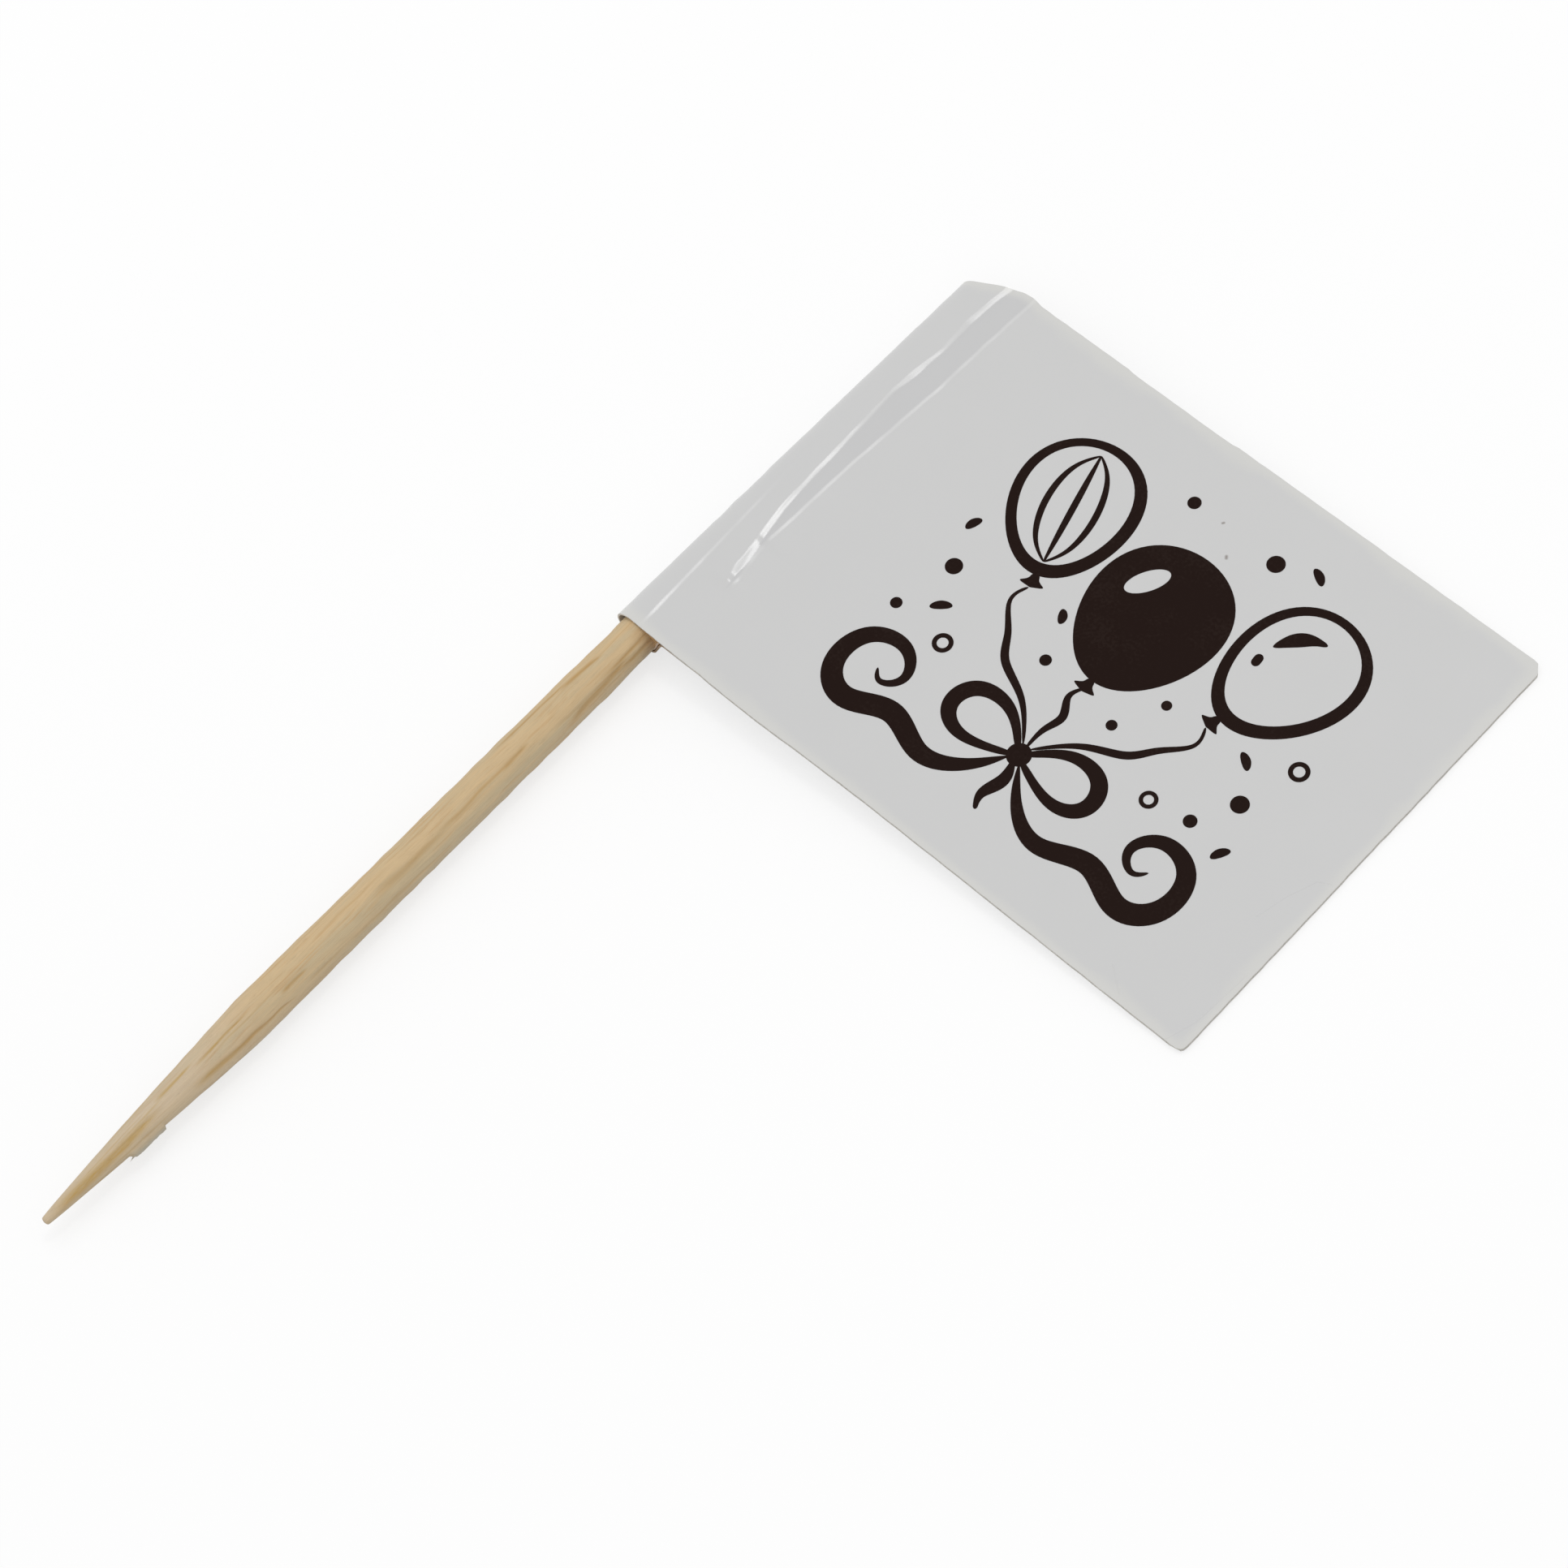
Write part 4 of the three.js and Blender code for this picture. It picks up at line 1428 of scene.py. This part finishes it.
# Painted shade: the bead's brown stands for the shadow in the gap at the rim.
rim_shade_adhesive = adhesive_material("rim_shade_adhesive", (0.36, 0.21, 0.09), (0.46, 0.29, 0.14), 0.2)
new_piece(
    "rim_shade_bead", bead_points, grid_faces(bead_steps, bead_sides, round_columns=True),
    "clear_adhesive", [rim_shade_adhesive],
)

# %% [markdown]
# The print is ink on the paper, drawn the way a sign cutter would cut it from thin film:
# closed shapes, one to two hundredths of a millimetre thick, that follow the leaf. The
# motif is a bunch of balloons whose strings meet in a bow, with curled ribbon ends and
# confetti. Two kinds of shape are enough. A stroke is a smooth path with a width that
# swells and ends round. A ring fills the space between two closed outlines, such as a
# balloon and its highlight. A picture on the paper would do from afar, but cut shapes keep
# a sharp edge at any distance.

# %% Helpers for strokes
stroke_steps = 110


def smooth_path(points):
    """A smooth curve that chosen points pull towards them: each stretch is a cubic from
    (before + 4 start + end) / 6 to (start + 4 end + after) / 6, so that even its bend
    changes smoothly. It starts and ends on the first and last point."""
    points = np.array(points, float)
    padded = np.concatenate([[2 * points[0] - points[1]], points, [2 * points[-1] - points[-2]]])
    place = np.linspace(0, len(points) - 1, stroke_steps)
    part = np.minimum(place.astype(int), len(points) - 2)
    t = (place - part)[:, None]
    before, start, end, after = (padded[part + k] for k in range(4))
    return bezier((before + 4 * start + end) / 6, (2 * start + end) / 3, (start + 2 * end) / 3,
                  (start + 4 * end + after) / 6, t)


def stroke(points, thin, thick, swell_at=0.5, round_end=0.06):
    """A pen stroke as a grid of left and right edges: half the width is thin plus a sine
    swell that peaks at `swell_at`, and it closes as a circle does over each round end."""
    path = smooth_path(points)
    share = np.linspace(0, 1, len(path))
    skew = math.log(0.5) / math.log(swell_at)
    half = blend(thin, thick, np.sin(np.pi * share ** skew) ** 1.5) / 2
    near_end = np.clip(np.minimum(share, 1 - share) / round_end, 0, 1)
    half = (half * np.sqrt(1 - (1 - near_end) ** 2))[:, None]
    run = np.gradient(path, axis=0)
    normal = np.stack([-run[:, 1], run[:, 0]], axis=-1) / np.linalg.norm(run, axis=1)[:, None]
    return np.stack([path - normal * half, path + normal * half], axis=1), False


def dot(x, y, size):
    """A filled circle, drawn as a stroke that is as short as it is thick."""
    return stroke([(x - size, y), (x, y), (x + size, y)], 2 * size, 2 * size, 0.5, 0.5)


print("a stroke has", stroke_steps, "steps")

# %% [markdown]
# A ring is a grid too: round the outline one way, and from the inner to the outer one the
# other way. With several bands between them it can follow the bow of the leaf. Filled
# shapes are rings round a small opening, or short fat strokes, so no shape needs a special
# kind of face.

# %% Helpers for outlines
ring_steps = 72
ring_bands = 7


def at_angle(centre, tilt, x, y):
    """A place given in the frame of something that stands at `centre`, tilted in degrees:
    (x cos - y sin, x sin + y cos) away from the centre."""
    c, s = math.cos(math.radians(tilt)), math.sin(math.radians(tilt))
    return centre[0] + x * c - y * s, centre[1] + x * s + y * c


def egg(centre, half_width, half_height, tilt=0, narrowing=0.14):
    """A closed outline: an ellipse, x = a cos t, y = b sin t, that is narrower below by
    x times (1 + narrowing sin t), turned by `tilt` degrees."""
    t = np.linspace(0, 2 * np.pi, ring_steps, endpoint=False)
    x, y = half_width * np.cos(t) * (1 + narrowing * np.sin(t)), half_height * np.sin(t)
    return np.stack(at_angle(centre, tilt, x, y), axis=-1)


def ring(inner, outer):
    """The space between two closed outlines, as bands from the inner to the outer one."""
    band = np.linspace(0, 1, ring_bands)[None, :, None]
    return blend(inner[:, None], outer[:, None], band), True


print("a ring has", ring_steps, "by", ring_bands, "points")

# %% [markdown]
# Each balloon has an egg-shaped outline and a small knot below. The low one in front is
# solid ink with its highlight left open, and the upper two are drawn as outlines, one with
# seams and one with a long highlight, so that the bunch has both heavy and light shapes.

# %% Draw the balloons
motif_middle = 19.0
balloons = [
    # centre, half width, half height, tilt, how far the inner outline is drawn in
    ((19.0, 55.3), 3.55, 4.15, 0, None),
    ((12.1, 57.5), 3.25, 3.95, 16, 0.58),
    ((26.0, 57.2), 3.25, 3.95, -16, 0.58),
]
seam_bulges = (-1.55, 0, 1.35)
seam_angles = np.radians((-90, -45, 0, 45, 90))
shine_angles = np.radians((5, 30, 55, 80))

shapes = []
for centre, wide, tall, tilt, wall in balloons:
    outline = egg(centre, wide, tall, tilt)
    if wall is None:
        highlight = at_angle(centre, tilt, -0.42 * wide, 0.36 * tall)
        shapes.append(ring(egg(highlight, 0.15 * wide, 0.28 * tall, tilt - 30, 0), outline))
    else:
        inner_centre = at_angle(centre, tilt, -0.12 * wall, 0.22 * wall)
        shapes.append(ring(egg(inner_centre, wide - wall, tall - wall, tilt), outline))
    knot = [at_angle(centre, tilt, 0, 0.1 - tall - drop) for drop in (0, 0.4, 0.8)]
    shapes.append(stroke(knot, 0.45, 1.25, 0.78, 0.3))

centre, wide, tall, tilt, wall = balloons[1]
for bulge in seam_bulges:
    seam = [at_angle(centre, tilt, bulge * math.cos(a), 0.80 * tall * math.sin(a)) for a in seam_angles]
    shapes.append(stroke(seam, 0.12, 0.34))
centre, wide, tall, tilt, wall = balloons[2]
shine = [at_angle(centre, tilt, -1.75 * math.cos(a), 2.35 * math.sin(a)) for a in shine_angles]
shapes.append(stroke(shine, 0.22, 0.75, 0.45, 0.1))
spark = [at_angle(centre, tilt, -1.70, -0.45), at_angle(centre, tilt, -1.45, -1.1)]
shapes.append(stroke(spark, 0.42, 0.46, 0.5, 0.3))
print("balloons make", len(shapes), "shapes")

# %% [markdown]
# The strings leave the knots, sway and run into the bow. The bow is two pen loops and a
# filled knot. The ribbon ends below are the heaviest strokes of the print: they swing out
# to both sides and curl in, and a short one hangs between them. The right-hand shapes
# mirror the left-hand ones, but their places are shifted a little, as drawn by hand.

# %% Draw the strings, the bow and the ribbon ends
# Strings and ribbon ends come with the share of their length at which the pen presses most
strings = [
    ([(13.35, 53.0), (12.8, 51.9), (14.4, 50.6), (14.9, 49.2), (17.2, 48.6), (18.8, 46.6)], 0.6),
    ([(19.0, 50.6), (18.5, 49.8), (19.5, 48.9), (18.9, 47.9), (19.0, 46.6)], 0.5),
    ([(24.75, 52.7), (25.3, 51.6), (23.7, 50.4), (23.1, 49.1), (20.9, 48.5), (19.2, 46.6)], 0.6),
]
bow_loops = [
    [(18.8, 46.25), (17.2, 47.9), (14.9, 47.8), (14.3, 45.9), (16.0, 44.8), (18.8, 45.95)],
    [(19.2, 46.25), (20.9, 47.9), (23.1, 47.7), (23.6, 45.8), (21.9, 44.8), (19.2, 45.95)],
]
ribbon_ends = [
    ([(18.7, 45.8), (17.5, 44.0), (15.2, 42.7), (12.8, 44.6), (10.6, 42.6), (8.5, 43.9), (8.8, 46.6),
      (11.2, 47.3), (12.5, 45.6), (11.2, 44.5), (10.7, 45.3)], 0.36),
    ([(19.3, 45.8), (20.5, 44.0), (22.8, 42.6), (25.3, 44.6), (27.6, 42.6), (29.7, 44.0), (29.5, 46.7),
      (27.1, 47.4), (25.8, 45.7), (27.1, 44.6), (27.7, 45.4)], 0.40),
]
short_end = [(19.0, 45.7), (19.5, 44.6), (18.8, 43.5), (19.3, 42.7)]

shapes += [stroke(path, 0.16, 0.42, swell_at) for path, swell_at in strings]
shapes += [stroke(path, 0.34, 0.85) for path in bow_loops]
shapes.append(dot(19.0, 46.1, 0.62))
shapes += [stroke(path, 0.20, 1.15, swell_at) for path, swell_at in ribbon_ends]
shapes.append(stroke(short_end, 0.22, 0.66, 0.4))
print("with strings, bow and ribbons", len(shapes), "shapes")

# %% [markdown]
# Confetti fills the space round the bunch: dots, short dashes and small open rings at
# chosen places, larger near the balloons and smaller away from them.

# %% Draw the confetti
dots = [(21.6, 61.3, 0.46), (16.4, 61.4, 0.34), (9.8, 51.6, 0.44), (21.3, 50.0, 0.28), (28.6, 50.7, 0.46),
        (16.6, 50.6, 0.30), (9.0, 48.4, 0.30), (27.4, 48.6, 0.34), (22.6, 52.4, 0.26)]
dashes = [(15.6, 52.8, -60, 0.8), (23.6, 62.0, -30, 1.0), (10.8, 49.6, 40, 1.1), (29.6, 48.2, 60, 1.0),
          (27.3, 52.5, -35, 1.0), (9.0, 53.9, 70, 0.9)]
hoops = [(29.6, 53.7, 0.52), (12.2, 48.2, 0.52), (25.2, 48.2, 0.46)]
dash_bow = 0.12
hoop_wall = 0.45

shapes += [dot(*place_and_size) for place_and_size in dots]
for x, y, tilt, length in dashes:
    half = length / 2
    dash = [at_angle((x, y), tilt, *point) for point in ((-half, 0), (0, dash_bow), (half, 0))]
    shapes.append(stroke(dash, 0.28, 0.46, 0.5, 0.22))
for x, y, size in hoops:
    inner, outer = (egg((x, y), radius, radius, narrowing=0) for radius in (size * (1 - hoop_wall), size))
    shapes.append(ring(inner, outer))
print("the whole motif has", len(shapes), "shapes")

# %% [markdown]
# The ink is the near-black brown of a warm printing black. It lies under the same clear
# gloss as the paper, so it gets the same roughness in its coat, and a fine mottle keeps the
# solid areas from looking like a hole.

# %% Finish the ink
ink_brown = (0.0150, 0.0075, 0.0058)
ink_worn = (0.0200, 0.0115, 0.0092)
ink_bump = 0.000004
print_ink, tree, finish_material = new_material("print_ink")
place = flag_coordinates(tree)
fine_mottle = use_group(tree, paper_mottle, {"Place": place, "Patch": 0.16})["Height"]
slow_mottle = use_group(tree, paper_mottle, {"Place": place, "Patch": 2.0})["Height"]
thin_ink = map_range(tree, math_node(tree, "MULTIPLY", fine_mottle, slow_mottle), 0.24, 0.42)
finish_material(surface_shader(tree, fine_mottle, 0.4, ink_bump, {
    "Base Color": mixed(tree, thin_ink, ink_brown, ink_worn),
    "Roughness": map_range(tree, slow_mottle, 0.3, 0.7, 0.38, 0.5),
    "Specular IOR Level": 0.03,
}))
print("print_ink has", len(tree.nodes), "nodes")

# %% [markdown]
# The flat shapes are now laid on the paper. Each becomes a closed shell: its plan lifted
# to just above the leaf, the same plan sunk just below the surface, and walls between. Each
# shape lies a hair above the one before, so where a string runs into the bow the two faces
# don't share a surface. The back leaf carries the same motif, mirrored.

# %% Lay the print on both leaves
ink_proud, ink_layer, ink_sunk = 0.008, 0.0002, 0.004


def ink_shell(plan, goes_round, layer, leaf, side):
    """A closed shell over a plan: its loops run over the proud face and back under the
    sunk one. `side` is 1 on the front and -1 on the back, where x is mirrored."""
    x = motif_middle + side * (plan[..., 0] - motif_middle)
    rise = leaf + leaf_wave(x, plan[..., 1])
    proud = np.stack([x, plan[..., 1], rise + side * (ink_proud + layer * ink_layer)], axis=-1)
    sunk = np.stack([x, plan[..., 1], rise - side * ink_sunk], axis=-1)
    loops = np.concatenate([proud, sunk[:, ::-1]], axis=1)
    return loops, grid_faces(*loops.shape[:2], round_rows=goes_round, round_columns=True)


for name, leaf, side in (("printed_motif_front", leaf_front, 1), ("printed_motif_back", leaf_back, -1)):
    ink_shells = [ink_shell(*shape, layer, leaf, side) for layer, shape in enumerate(shapes)]
    new_piece(name, *join_shells(ink_shells), "print_ink", [print_ink])

# %% [markdown]
# Last, the imported model's box and the dressed object's box are put side by side, and the
# dressed one is printed. The dressed object may not outgrow the imported model by more than
# a little.

# %% Put both sizes side by side
visual_low, visual_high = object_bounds()
sizes = {"cad": [list(cad_low), list(cad_high)], "visual": [list(visual_low), list(visual_high)]}
print("visual model from", sizes["visual"][0], "to", sizes["visual"][1])
